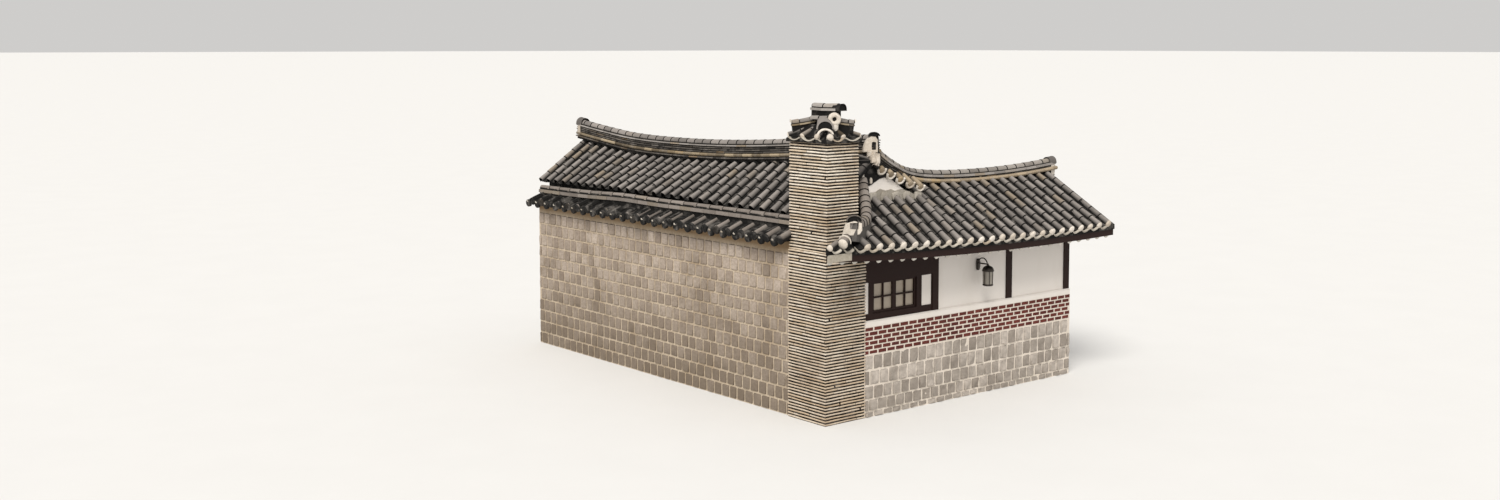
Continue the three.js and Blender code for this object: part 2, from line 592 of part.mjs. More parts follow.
// Under each eave: a strip of boards with round rafters and the dark edge board in front of them.
function addEaves() {
  const strip = (under) => under(DECK_BOTTOM - GAP).subtract(under(SHEATHING_BOTTOM));
  const edge = (under) => under(DECK_BOTTOM - GAP).subtract(under(EDGE_BOARD_BOTTOM));
  const [front, behind] = [EDGE_BOARD_FRONT, EDGE_BOARD_FRONT - EDGE_BOARD];
  const [reach, inside] = [RAFTER_REACH, -RAFTER_INNER];
  const height = (x, out) => eaveHeight(x) + (ROW_OVERHANG - out) * SOUTH_PITCH + RAFTER_LIFT;
  const places = (from, to) => Array.from(
    { length: Math.floor((to - from) / RAFTER_SPACING) + 1 }, (_, k) => from + k * RAFTER_SPACING);

  const southBoards = strip(underSouth)
    .intersect(box(-950, ROOF_EAST_END - 20, -front, 215, BELOW, ABOVE))
    .add(edge(underSouth).intersect(box(-950, ROOF_EAST_END - 20, -front, -behind, BELOW, ABOVE)));
  const southRafters = places(-820, 7300).map((x) => rafter(
    [x, -reach, height(x, reach)], [x, -inside, height(x, inside)]));
  addPart('south_eave', joined([southBoards, ...southRafters]).subtract(chimneyRoom)
    .intersect(underSouth(DECK_BOTTOM - GAP)), 'wood');

  const far = 2 * SOUTH_RIDGE_Y;
  const yardBoards = strip(underSouth)
    .intersect(box(WEST_EAVE_X + 40, ROOF_EAST_END - 20, far - 215, far + front, BELOW, ABOVE))
    .add(edge(underSouth).intersect(box(WEST_EAVE_X + 40, ROOF_EAST_END - 20, far + behind,
      far + front, BELOW, ABOVE)));
  const yardRafters = places(3690, 7300).map((x) => rafter(
    [x, far + reach, height(x, reach)], [x, far + inside, height(x, inside)]));
  addPart('courtyard_south_eave', joined([yardBoards, ...yardRafters])
    .intersect(underSouth(DECK_BOTTOM - GAP)), 'wood');

  const underWing = (lift) => underWest(lift, 500, ROOF_NORTH_END);
  const span = [far + EAVE_OVERHANG + 80, ROOF_NORTH_END - 20];
  const wingBoards = strip(underWing)
    .intersect(box(WEST_WIDTH - 215, WEST_EAVE_X - 20, ...span, BELOW, ABOVE))
    .add(edge(underWing).intersect(box(WEST_EAVE_X - 20 - EDGE_BOARD, WEST_EAVE_X - 20, ...span,
      BELOW, ABOVE)));
  const wingRafters = places(span[0] + 90, span[1] - 60).map((y) => {
    const slope = (meetingHeight(y) - EAVE) / (WEST_EAVE_X - WEST_RIDGE_X);
    const level = (x) => EAVE + (WEST_EAVE_X - x) * slope + RAFTER_LIFT;
    const [outer, inner] = [WEST_EAVE_X - 80, WEST_WIDTH + inside];
    return rafter([outer, y, level(outer)], [inner, y, level(inner)]);
  });
  addPart('courtyard_west_eave', joined([wingBoards, ...wingRafters])
    .intersect(underWing(DECK_BOTTOM - GAP)), 'wood');
}

// Lantern on the plaster beside the window.
const LANTERN_X = 3900;
const LANTERN_Y = -230;
const LANTERN_TOP = 2690;

function addLantern() {
  const arm = 24;
  const plate = box(LANTERN_X - 35, LANTERN_X + 35, PANEL_FRONT - 20, PANEL_FRONT - GAP,
    LANTERN_TOP - 110, LANTERN_TOP + 70);
  const rod = box(LANTERN_X - arm / 2, LANTERN_X + arm / 2, LANTERN_Y - arm / 2, PANEL_FRONT - 10,
    LANTERN_TOP + GAP, LANTERN_TOP + arm);
  addPart('lantern_bracket', plate.add(rod), 'metal', { metalness: 0.6, roughness: 0.5 });
  const outline = [[0, -430], [30, -425], [38, -400], [70, -385], [78, -370], [98, -110], [118, -95],
    [70, -40], [30, -20], [14, 0], [0, 0]].map(([r, z]) => new THREE.Vector2(r, z));
  const body = new THREE.LatheGeometry(outline, 12);
  body.rotateX(Math.PI / 2);
  body.translate(LANTERN_X, LANTERN_Y, LANTERN_TOP);
  addPart('lantern', toSolid(body), 'metal', { metalness: 0.6, roughness: 0.5 });
}

addChimney();
addLaneWall();
addSouthFront();
addWindowBay();
addCourtyardSides();
addEndWalls();
addFloor();
addRoofs();
addEaves();
addLantern();

// The origin is the middle of the footprint, on the lowest ground.
const bounds = new THREE.Box3().setFromObject(parts);
const centre = bounds.getCenter(new THREE.Vector3());
parts.position.set(-centre.x, -centre.y, -bounds.min.z);
const house = new THREE.Group();
house.add(parts);

export default house;
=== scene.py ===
# Looks of the corner house: tiles, ridges, stacked-tile chimney, stones, bricks, plaster and timber.
import json
import math
import random
import bpy
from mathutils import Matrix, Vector, noise


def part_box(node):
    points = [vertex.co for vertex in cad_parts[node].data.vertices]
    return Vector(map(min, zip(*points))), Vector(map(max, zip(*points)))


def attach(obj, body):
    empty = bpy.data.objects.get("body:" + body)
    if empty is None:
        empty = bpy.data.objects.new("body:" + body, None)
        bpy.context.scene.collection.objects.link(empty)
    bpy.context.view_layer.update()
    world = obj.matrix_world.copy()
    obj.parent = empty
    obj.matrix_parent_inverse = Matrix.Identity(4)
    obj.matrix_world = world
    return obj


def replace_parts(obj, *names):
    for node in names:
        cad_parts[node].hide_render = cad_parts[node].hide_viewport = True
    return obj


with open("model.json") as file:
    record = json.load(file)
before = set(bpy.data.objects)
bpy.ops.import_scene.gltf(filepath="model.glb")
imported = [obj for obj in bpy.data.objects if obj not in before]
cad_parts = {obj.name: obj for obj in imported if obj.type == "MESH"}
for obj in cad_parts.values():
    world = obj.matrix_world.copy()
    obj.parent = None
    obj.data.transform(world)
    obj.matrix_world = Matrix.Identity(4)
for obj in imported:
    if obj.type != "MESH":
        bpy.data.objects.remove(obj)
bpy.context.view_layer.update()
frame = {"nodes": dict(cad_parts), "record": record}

# House coordinates: x east along the south front, y north along the lane wall, z above lowest ground,
# with zero at the south front's plane. The chimney's base places them in the frame.
CHIMNEY_LOW, CHIMNEY_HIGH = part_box("chimney_base")
CHIMNEY_WEST = -0.347
ORIGIN = Vector((CHIMNEY_LOW.x - CHIMNEY_WEST, CHIMNEY_LOW.y, CHIMNEY_LOW.z))
CHIMNEY_NORTH = CHIMNEY_HIGH.y - ORIGIN.y
EAST = Vector((1, 0, 0))
NORTH = Vector((0, 1, 0))
UP = Vector((0, 0, 1))


def node_box(name):
    low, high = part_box(name)
    return low - ORIGIN, high - ORIGIN


# Roof tiles, in metres: distances between rows, radii of the half-round tiles, lengths that show.
PITCH = 0.31
WEST_PITCH = 0.332
WEST_FIRST_Y = 0.79
COVER_R = 0.08
COVER_NECK = 0.069
COVER_LENGTH = 0.285
PAN_STEP = 0.145
# How far a row's tiles reach down into its bed.
COVER_SKIRT = 0.05
# The end of each tile where the next one laps over it, painted dark as shade.
NECK_SHADE = 0.026

# Roof slopes: eaves, ridges, and where the west wing's two slopes meet, as places along y and heights.
EAVE = 3.45
EAVE_Y = -0.75
SLOPE = 0.566
RIDGE_Y = 1.05
BACK_EAVE_Y = 2 * RIDGE_Y - EAVE_Y
RIDGE_X = 1.2
WEST_FOOT = (0.02, 4.0)
EAST_EAVE_X = 3.48
# The west wing's rows: feet beside the chimney and north of it, and tops on both sides of the ridge.
WEST_FOOT_X = 0.47
WEST_NORTH_FOOT_X = -0.13
WEST_TOP_X = 1.1
EAST_TOP_X = 1.3
MEETING = [(0.3, 4.96), (1.5, 4.89), (2.8, 4.79), (4.5, 4.66), (6.15, 4.61), (8.16, 4.61),
           (9.5, 4.74), (10.68, 4.86)]
GABLE_Y = 0.42
GABLE_FOOT_X = 2.55
# The rows below the gable lie this much higher at their tops.
GABLE_LIFT = 0.13
ROOF_NORTH = 10.65
ROOF_EAST = 7.4
LAST_ROW_X = ROOF_EAST - 0.1
LAST_ROW_Y = ROOF_NORTH - 0.06
# Rows that end in the valley are shortened in steps of this size.
VALLEY_STEP = 0.02

# Tops of the ridges, the hip and the lane wall's cap.
WEST_RIDGE_TOP = [(0.3, 5.44), (1.5, 5.33), (2.8, 5.22), (4.5, 5.11), (6.15, 5.06), (8.16, 5.07),
                  (9.5, 5.19), (10.68, 5.32)]
SOUTH_RIDGE = [(1.345, 0.43, 5.2), (1.56, 0.45, 5.04), (1.88, 0.52, 4.89), (2.28, 0.7, 4.755),
               (2.7, 0.89, 4.67), (3.25, 1.01, 4.59), (4.0, RIDGE_Y, 4.535), (5.2, RIDGE_Y, 4.52),
               (6.4, RIDGE_Y, 4.56), (7.43, RIDGE_Y, 4.64)]
# The tan row under the south ridge starts this far along it.
SOUTH_TAN_START = 1.35
HIP_TOP = [(-0.2, -0.59, 4.0), (0.02, -0.49, 3.95), (0.23, -0.37, 3.955), (0.45, -0.25, 3.99),
           (0.66, -0.02, 4.2), (0.82, 0.2, 4.44), (0.93, 0.36, 4.64)]
WALL_CAP_X = -0.2
WALL_CAP_TOP = [(1.04, 3.883), (2.4, 3.885), (3.65, 3.878), (4.8, 3.87), (5.3, 3.865), (6.2, 3.87),
                (6.8, 3.878), (8.4, 3.818), (10.3, 3.805)]

# Mortar blocks and their hollows as places to the right and above, from low left by the top. They look
# towards the crossing of the two lanes.
FACING = Vector((-0.6, -0.8, 0.0))
HIP_BLOCK = [(-0.215, 3.665), (-0.19, 3.77), (-0.15, 3.89), (0.0, 3.935), (0.14, 3.89), (0.145, 3.76),
             (0.1, 3.69), (-0.03, 3.665)]
HIP_HOLLOW = [(-0.085, 3.785), (-0.087, 3.845), (-0.085, 3.9), (0.0, 3.903), (0.07, 3.9), (0.072, 3.84),
              (0.07, 3.785), (0.0, 3.782)]
PEAK_BLOCK = [(-0.21, 5.09), (-0.2, 5.2), (-0.15, 5.32), (-0.06, 5.4), (0.03, 5.39), (0.072, 5.33),
              (0.078, 5.2), (0.078, 5.08)]
PEAK_HOLLOW = [(-0.042, 5.135), (-0.046, 5.21), (-0.04, 5.28), (0.0, 5.29), (0.04, 5.28), (0.042, 5.21),
               (0.04, 5.135), (0.0, 5.13)]

# The gable: feet of its verge tiles, the mortar under its patch and the shade over it, as places along
# x and heights.
VERGE = [(1.42, 4.72), (1.67, 4.62), (1.93, 4.51), (2.21, 4.41), (2.5, 4.33)]
GABLE_MORTAR = [(1.0, 4.0), (1.16, 4.26), (1.234, 4.249), (1.324, 4.287), (1.444, 4.345), (1.6, 4.3),
                (1.748, 4.32), (1.85, 4.28), (1.933, 4.292), (2.057, 4.306), (2.229, 4.251), (2.4, 4.18),
                (2.6, 4.0)]
GABLE_SHADE = [(0.96, 4.63), (1.04, 4.45), (1.15, 4.42), (1.22, 4.44), (1.28, 4.475), (1.44, 4.545),
               (1.56, 4.56), (1.7, 4.545), (1.87, 4.45), (2.2, 4.335), (2.35, 4.39), (1.9, 4.62),
               (1.5, 4.85), (1.2, 4.96)]

# Masonry: heights of the joints from the top down, then block length, joint, relief, roughness of the
# face, cuts across the face and unevenness of the lengths.
LANE_LINES = [3.17, 2.89, 2.62, 2.35, 2.1, 1.85, 1.595, 1.33, 1.065, 0.8, 0.53, 0.265, 0.0]
LANE_STYLE = (0.25, 0.034, 0.02, 0.014)
FRONT_LINES = [1.21, 0.91, 0.61, 0.346, 0.113, 0.0]
FRONT_STYLE = (0.245, 0.034, 0.022, 0.034, 6)
BRICK_LINES = [1.754 - 0.0895 * k for k in range(7)]
BRICK_STYLE = (0.24, 0.022, 0.006, 0.003, 3, 0.004)
# The height of a course on the walls that the photo hides.
HIDDEN_COURSE = 0.28
# How much painted shade darkens each stone's rim.
RIM_PAINTED_SHADE = 0.5

# The chimney's courses: their distance and thickness, and where the darker ones under the cap start.
LAYER = 0.0585
LAYER_BAND = 0.029
UNDER_CAP_FROM = 5.29

LANTERN = Vector((3.9, -0.23, 2.69))

# Tints: a random tone from dark to light, a darkening, and how near a piece is to the warm colour.
# The darkening paints shade at laps, flanks, step faces, rims, hollows and hearts; it also darkens the arch
# tiles that end the ridges and the chimney's courses under its cap.
HOLLOW_TONE = (0.1, 1.0, 0.1)
HEART_TONE = (0.1, 0.6, 0.1)
UNDER_CAP_TONE = (0.0, 0.42, 0.5)

rng = random.Random(7)


def jitter(size):
    return rng.uniform(-size, size)


# A tint with a random tone and warmth and no painted shade.
def shade():
    return (rng.random(), 0.0, rng.random())


# The same tone with painted shade set in its darkening channel.
def with_painted_shade(tone, grime_and_shade=1.0):
    return (tone[0], grime_and_shade, tone[2])


def interpolate(table, at):
    for (a, p), (b, q) in zip(table, table[1:]):
        if at <= b:
            return p + (q - p) * (at - a) / (b - a)
    return table[-1][1]


def south_height(x, y):
    eave = EAVE + 0.0056 * x * x - 0.0565 * x
    across = y if y <= RIDGE_Y else 2 * RIDGE_Y - y
    return eave + (across - EAVE_Y) * SLOPE


def west_height(x, y):
    top = interpolate(MEETING, y)
    if x <= RIDGE_X:
        return WEST_FOOT[1] + (x - WEST_FOOT[0]) * (top - WEST_FOOT[1]) / (RIDGE_X - WEST_FOOT[0])
    return top - (x - RIDGE_X) * (top - EAVE) / (EAST_EAVE_X - RIDGE_X)


# Materials

class Shader:
    """Builds one node material with a Principled shader."""

    def __init__(self, name, roughness, metallic=0.0, specular=0.5):
        self.material = bpy.data.materials.new(name)
        self.material.use_nodes = True
        self.tree = self.material.node_tree
        self.surface = self.tree.nodes["Principled BSDF"]
        self.surface.inputs["Roughness"].default_value = roughness
        self.surface.inputs["Metallic"].default_value = metallic
        self.surface.inputs["Specular IOR Level"].default_value = specular
        self.place = self.add("TexCoord").outputs["Object"]

    def link(self, value, socket):
        if isinstance(value, bpy.types.NodeSocket):
            self.tree.links.new(value, socket)
        else:
            socket.default_value = value

    def add(self, kind, **inputs):
        """Adds a node and links or sets its inputs, with _ for a space in their names."""
        node = self.tree.nodes.new("ShaderNode" + kind)
        for name, value in inputs.items():
            self.link(value, node.inputs[name.replace("_", " ")])
        return node

    def noise(self, scale, detail=6.0, roughness=0.6, stretch=(1, 1, 1)):
        place = self.add("Mapping", Vector=self.place, Scale=stretch).outputs["Vector"]
        return self.add("TexNoise", Vector=place, Scale=scale, Detail=detail,
                        Roughness=roughness).outputs["Fac"]

    def ramp(self, value, low, high, start=0.0, end=1.0):
        return self.add("MapRange", Value=value, From_Min=low, From_Max=high, To_Min=start,
                        To_Max=end).outputs["Result"]

    def mix(self, factor, a, b):
        node = self.add("Mix")
        node.data_type = "RGBA"
        for value, socket in ((factor, node.inputs[0]), (a, node.inputs[6]), (b, node.inputs[7])):
            self.link((*value, 1.0) if isinstance(value, tuple) else value, socket)
        return node.outputs[2]

    def tint(self, channel):
        node = self.add("Attribute")
        node.attribute_name = "tint"
        return self.add("SeparateColor", Color=node.outputs["Color"]).outputs[channel]

    def height(self):
        return self.add("SeparateXYZ", Vector=self.place).outputs["Z"]

    def color(self, value):
        self.link(value, self.surface.inputs["Base Color"])
        return self

    def rough(self, value):
        self.link(value, self.surface.inputs["Roughness"])
        return self

    def bump(self, value, strength, distance):
        node = self.add("Bump", Strength=strength, Distance=distance, Height=value)
        self.link(node.outputs["Normal"], self.surface.inputs["Normal"])
        return self


def clay(name, dark, light, warm):
    """Fired tile: grey, each tile a little different, with some tan ones, and darker where the tint's
    darkening asks for it: painted shade at laps, flanks and hollows.
    """
    s = Shader(name, 0.75, specular=0.12)
    fine = s.noise(38.0, 8.0, 0.7)
    patches = s.noise(5.0, 5.0)
    body = s.mix(s.tint("Red"), dark, light)
    body = s.mix(s.ramp(s.tint("Blue"), 0.88, 1.0), body, warm)
    body = s.mix(s.ramp(patches, 0.5, 0.72, 0.0, 0.45), body, (0.36, 0.33, 0.30))
    body = s.mix(s.ramp(fine, 0.35, 0.75, 0.3, 0.0), body, (0.022, 0.02, 0.018))
    # Near black where the tint's darkening is set, which paints shade at laps, flanks and hollows.
    body = s.mix(s.tint("Green"), body, (0.01, 0.0095, 0.009))
    return s.color(body).rough(s.ramp(fine, 0.3, 0.7, 0.6, 0.9)).bump(fine, 0.35, 0.004).material


def masonry(name, low, high, grime_and_shade, grain=26.0, depth=0.006, grime_and_shade_by_height=(0.0, 1.6, 0.35)):
    """Rough stone or mortar: each block's own tone, grain and dirt, painted shade at its rim, and a
    darkening over some height.
    """
    s = Shader(name, 0.9, specular=0.25)
    fine = s.noise(grain, 10.0, 0.7)
    broad = s.noise(1.3, 4.0)
    body = s.mix(s.tint("Red"), low, high)
    body = s.mix(s.ramp(fine, 0.38, 0.72, 0.5, 0.0), body, grime_and_shade)
    body = s.mix(s.ramp(broad, 0.48, 0.72, 0.0, 0.5), body, grime_and_shade)
    # Darker over some height: towards the bottom as dirt; on the lane wall's mortar towards the top, as
    # stains and painted shade under the cap.
    body = s.mix(s.ramp(s.height(), *grime_and_shade_by_height, 0.0), body, grime_and_shade)
    # Painted shade at each stone's rim, set by the tint's darkening.
    body = s.mix(s.tint("Green"), body, tuple(0.35 * c for c in grime_and_shade))
    return s.color(body).bump(fine, 0.6, depth).material


def plaster(name):
    s = Shader(name, 0.85)
    stain = s.ramp(s.noise(0.9, 5.0, 0.6, (1, 1, 0.35)), 0.45, 0.75, 0.0, 0.5)
    body = s.mix(stain, (0.80, 0.75, 0.70), (0.66, 0.60, 0.53))
    return s.color(body).bump(s.noise(60.0, 6.0), 0.15, 0.002).material


def timber(name):
    s = Shader(name, 0.55, specular=0.15)
    grain = s.noise(7.0, 8.0, 0.65, (1.0, 1.0, 14.0))
    body = s.mix(grain, (0.010, 0.0046, 0.0038), (0.030, 0.013, 0.010))
    return s.color(body).rough(s.ramp(grain, 0.3, 0.7, 0.5, 0.7)).bump(grain, 0.2, 0.002).material


def mottled(name, roughness, blotches, low, high, metallic=0.0, bump=(0.0, 0.0)):
    """Two colours in blotches, given as the noise's scale, detail, roughness and stretch."""
    s = Shader(name, roughness, metallic)
    blotch = s.noise(*blotches)
    s.color(s.mix(blotch, low, high))
    if any(bump):
        s.bump(blotch, *bump)
    return s.material


LOOKS = {
    "cover_clay": (clay, (0.195, 0.177, 0.164), (0.34, 0.308, 0.285), (0.31, 0.25, 0.185)),
    # Near black: painted shade between the rows of covers.
    "pan_clay": (clay, (0.006, 0.0058, 0.0055), (0.02, 0.019, 0.018), (0.04, 0.034, 0.028)),
    "edge_clay": (clay, (0.40, 0.36, 0.30), (0.62, 0.57, 0.49), (0.46, 0.36, 0.25)),
    "stack_clay": (clay, (0.02, 0.018, 0.017), (0.13, 0.115, 0.1), (0.27, 0.19, 0.11)),
    "cover_warm": (clay, (0.2, 0.172, 0.15), (0.32, 0.28, 0.25), (0.3, 0.25, 0.19)),
    "layer_grey": (clay, (0.27, 0.247, 0.228), (0.46, 0.425, 0.395), (0.38, 0.31, 0.23)),
    "ridge_row": (clay, (0.22, 0.198, 0.178), (0.42, 0.385, 0.35), (0.36, 0.3, 0.22)),
    "layer_tan": (clay, (0.06, 0.045, 0.03), (0.46, 0.37, 0.25), (0.44, 0.31, 0.15)),
    "row_tan": (clay, (0.3, 0.235, 0.16), (0.5, 0.4, 0.28), (0.5, 0.37, 0.21)),
    "end_disc": (clay, (0.008, 0.008, 0.008), (0.022, 0.021, 0.02), (0.04, 0.033, 0.027)),
    # Near black: painted shade in hollows, behind ridge layers and under the verge; also the dark arch tiles
    # at the peak and at the back of the cap ridge.
    "edge_dark": (clay, (0.008, 0.0075, 0.007), (0.025, 0.023, 0.022), (0.035, 0.03, 0.025)),
    "pale_board": (masonry, (0.36, 0.32, 0.26), (0.46, 0.42, 0.35), (0.2, 0.17, 0.13)),
    "white_paint": (masonry, (0.6, 0.57, 0.52), (0.78, 0.75, 0.7), (0.4, 0.36, 0.3)),
    "lime_ends": (masonry, (0.60, 0.53, 0.45), (0.88, 0.83, 0.76), (0.34, 0.28, 0.21), 30.0, 0.004),
    "gable_mortar": (masonry, (0.40, 0.37, 0.32), (0.55, 0.51, 0.45), (0.22, 0.19, 0.15), 24.0, 0.005),
    "chimney_mortar": (masonry, (0.72, 0.6, 0.45), (1.0, 0.93, 0.81), (0.27, 0.175, 0.1), 22.0, 0.006,
                       (0.8, 4.3, 0.34)),
    "chimney_tile": (clay, (0.006, 0.005, 0.004), (0.022, 0.017, 0.013), (0.1, 0.05, 0.025)),
    "lane_stone": (masonry, (0.37, 0.30, 0.248), (0.64, 0.54, 0.458), (0.13, 0.1, 0.07), 18.0, 0.008,
                   (0.2, 3.1, 0.75)),
    # Darker towards its top under the cap: stains and painted shade.
    "lane_joint": (masonry, (0.62, 0.53, 0.415), (0.70, 0.61, 0.49), (0.22, 0.14, 0.07), 24.0, 0.004,
                   (3.26, 3.12, 0.9)),
    "front_stone": (masonry, (0.33, 0.285, 0.245), (0.72, 0.645, 0.575), (0.19, 0.165, 0.14), 13.0, 0.02),
    "front_joint": (masonry, (0.77, 0.69, 0.615), (0.86, 0.785, 0.71), (0.6, 0.54, 0.45), 24.0, 0.004,
                    (0.0, 1.2, 0.2)),
    "brick": (masonry, (0.11, 0.022, 0.018), (0.2, 0.045, 0.035), (0.05, 0.02, 0.016), 30.0, 0.003),
    "plaster": (plaster,),
    "timber": (timber,),
    "floor_boards": (mottled, 0.5, (5.0, 8.0, 0.6, (1.0, 12.0, 1.0)), (0.16, 0.09, 0.05),
                     (0.34, 0.22, 0.13), 0.0, (0.2, 0.002)),
    "pane": (mottled, 0.28, (3.0, 4.0), (0.28, 0.235, 0.18), (0.42, 0.35, 0.275)),
    "lantern_metal": (mottled, 0.45, (20.0,), (0.02, 0.019, 0.018), (0.07, 0.055, 0.045), 0.7),
    "lantern_glass": (mottled, 0.12, (6.0,), (0.16, 0.145, 0.12), (0.3, 0.27, 0.23)),
    "studio_floor": (mottled, 0.9, (0.6,), (0.70, 0.695, 0.685), (0.735, 0.73, 0.72)),
}
MATERIALS = {name: make(name, *numbers) for name, (make, *numbers) in LOOKS.items()}
SLOT_MATERIALS = {
    "chimney": "chimney_tile", "tile": "pan_clay", "ridge_tile": "stack_clay", "lane_stone": "lane_joint",
    "front_stone": "front_joint", "brick": "front_joint", "plaster": "plaster", "timber": "timber",
    "window_glass": "pane", "floor_boards": "floor_boards", "lantern_metal": "lantern_metal",
}


# Mesh collecting

class Piece:
    """Collects the faces of one piece in house coordinates and makes its object."""

    def __init__(self):
        self.points = []
        self.faces = []
        self.tints = []

    def skin(self, rings, tints, closed=False, facing=None, across=None):
        """Joins rings of like points; tints has one colour for all or one for each ring, and across paints
        shade onto the points of each ring."""
        base = len(self.points)
        count = len(rings[0])
        across = across or [0.0] * count
        for k, ring in enumerate(rings):
            self.points.extend(ring)
            red, dark, blue = tints[k] if isinstance(tints, list) else tints
            self.tints.extend((red, max(dark, more), blue) for more in across)
        flip = facing is not None and self.normal(rings).dot(facing) < 0
        for k in range(len(rings) - 1):
            row = base + k * count
            for i in range(count if closed else count - 1):
                j = (i + 1) % count
                face = (row + i, row + j, row + count + j, row + count + i)
                self.faces.append(face[::-1] if flip else face)

    def normal(self, rings):
        """The way the middle face of a skin looks."""
        k = (len(rings) - 1) // 2
        i = (len(rings[0]) - 1) // 2
        a, b, c, d = rings[k][i], rings[k][i + 1], rings[k + 1][i + 1], rings[k + 1][i]
        return (c - a).cross(d - b)

    def lid(self, ring, tint):
        base = len(self.points)
        self.points.extend(ring)
        self.tints.extend([tint] * len(ring))
        self.faces.append(tuple(range(base, base + len(ring))))

    def tube(self, rings, tint):
        """A closed skin with a lid at each end."""
        self.skin(rings, tint, closed=True)
        self.lid(list(reversed(rings[0])), tint)
        self.lid(rings[-1], tint)

    def object(self, name, material, slot, sharp=40.0):
        mesh = bpy.data.meshes.new(name)
        mesh.from_pydata([p + ORIGIN for p in self.points], [], self.faces)
        mesh.materials.append(MATERIALS[material])
        layer = mesh.color_attributes.new(name="tint", type="FLOAT_COLOR", domain="POINT")
        layer.data.foreach_set("color", [c for t in self.tints for c in (*t, 1.0)])
        mesh.polygons.foreach_set("use_smooth", [True] * len(mesh.polygons))
        mesh.set_sharp_from_angle(angle=math.radians(sharp))
        mesh.update()
        made = bpy.data.objects.new(name, mesh)
        bpy.context.scene.collection.objects.link(made)
        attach(made, "root")
        return made


def pieces(count):
    return [Piece() for _ in range(count)]


# Small turned, curved and domed shapes

def lathe(piece, centre, profile, tone, sides, axis=UP):
    """A turned shape, its profile given as radii and places along the axis."""
    side = axis.orthogonal().normalized()
    other = axis.cross(side).normalized()
    turns = [2 * math.pi * k / sides for k in range(sides)]
    piece.tube([[centre + axis * h + (side * math.cos(a) + other * math.sin(a)) * r for a in turns]
                for r, h in profile], tone)


def rim(piece, centre, axis, up, radius, thick, start=0.0, end=360.0, steps=18):
    """A curved rim: part of a ring of round section."""
    side = axis.cross(up).normalized()
    tone = shade()
    rings = []
    for k in range(steps + 1):
        a = math.radians(start + (end - start) * k / steps)
        out = side * math.cos(a) + up * math.sin(a)
        middle = centre + out * radius
        rings.append([middle + (out * math.cos(b) + axis * math.sin(b)) * thick * (1.0 + jitter(0.06))
                      for b in [math.pi * q / 4 for q in range(8)]])
    piece.tube(rings, tone)


def lump(piece, centre, size, seed, detail=3, rough=0.18):
    """A rounded, uneven lump of lime."""
    tone = shade()
    sides = 14
    levels = 4 * detail
    rings = []
    for k in range(levels + 1):
        lat = math.pi * (k / levels - 0.5)
        ring = []
        for i in range(sides):
            lon = 2 * math.pi * i / sides
            unit = Vector((math.cos(lat) * math.cos(lon), math.cos(lat) * math.sin(lon), math.sin(lat)))
            wobble = 1.0 + rough * noise.noise(unit * 2.1 + Vector((seed, seed, seed)))
            boxy = [math.copysign(abs(c) ** 0.6, c) * reach for c, reach in zip(unit, size)]
            ring.append(centre + Vector(boxy) * wobble)
        rings.append(ring)
    piece.tube(rings, tone)


# Half-round tiles in section: angles over the arc, and the painted shade on their flanks low down.
ARC = [math.pi * k / 10 for k in range(11)]
FLANK_SHADE = [1.0, *(max(0.0, 1.0 - 1.08 * math.sin(a)) for a in ARC), 1.0]


def half_ring(centre, side, out, radius, skirt):
    """Points over a half-round tile, from one foot to the other."""
    arc = [centre + side * (radius * math.cos(a)) + out * (radius * math.sin(a)) for a in ARC]
    return [centre + side * radius - out * skirt, *arc, centre - side * radius - out * skirt]


def arch(piece, dark, mouth, out, profile, skirt, flat, hollow, tone, across=None):
    """A half-round tile given as places along out, lifts and radii, with its hollow closed by a dark lid as
    painted shade.
    """
    across = across or out.cross(UP)
    rings = [half_ring(mouth + out * reach + UP * lift, across, UP * flat, radius, skirt)
             for reach, lift, radius in profile]
    piece.skin(rings, tone, facing=UP)
    dark.lid(half_ring(mouth + out * hollow, across, UP * flat, profile[-1][2], skirt), HOLLOW_TONE)


def arch_tile(piece, dark, mouth, out, radius, skirt=0.03, back=0.16, flat=1.0):
    """The wide half-round tile that ends a ridge."""
    profile = [(-back, 0.0, radius * 0.86), (0.0, 0.0, radius * 0.95), (0.04, 0.0, radius),
               (0.04, 0.0, radius * 0.86)]
    arch(piece, dark, mouth, out, profile, skirt, flat, 0.02, (0.3, 0.45, 0.1))


def hollowed(lime, dark, centre, out, outline, hollow):
    """A mortar block of a given outline with a hollow in its face, both as eight places right and up."""
    right = UP.cross(out)
    middle = Vector([sum(values) / len(outline) for values in zip(*outline)])
    rings = []
    for points, reach, share in ((outline, -0.12, 1.0), (outline, 0.0, 1.0), (outline, 0.016, 0.93),
                                 (hollow, 0.016, 1.0), (hollow, -0.03, 1.0)):
        spots = [middle + (Vector(point) - middle) * share for point in points]
        rings.append([centre + right * spot.x + UP * spot.y + out * reach for spot in spots])
    lime.skin(rings, shade(), closed=True)
    # The back of the hollow: a darker lid, painted shade.
    dark.lid(rings[-1], (0.6, 0.2, 0.3))


def rounded(half, rise):
    """Eight places round a block that is a little rounded, from low left by the top."""
    return [(-half, -rise), (-half * 1.03, 0.0), (-half, rise), (0, rise * 1.04),
            (half, rise), (half * 1.03, 0.0), (half, -rise), (0, -rise * 1.04)]


# Roof tiles

class Row:
    """One straight row of tiles, from its low end up the slope."""

    def __init__(self, low, high):
        self.low = low
        self.high = high
        self.length = (high - low).length
        self.up = (high - low).normalized()
        self.side = self.up.cross(UP).normalized()
        self.out = self.side.cross(self.up).normalized()


def tiles(length, tile, uneven, start=0.0, rest=0.03):
    """Start and size of each tile laid along a length."""
    at = start
    while at < length - rest:
        size = min(tile + jitter(uneven), length - at)
        yield at, size
        at += size


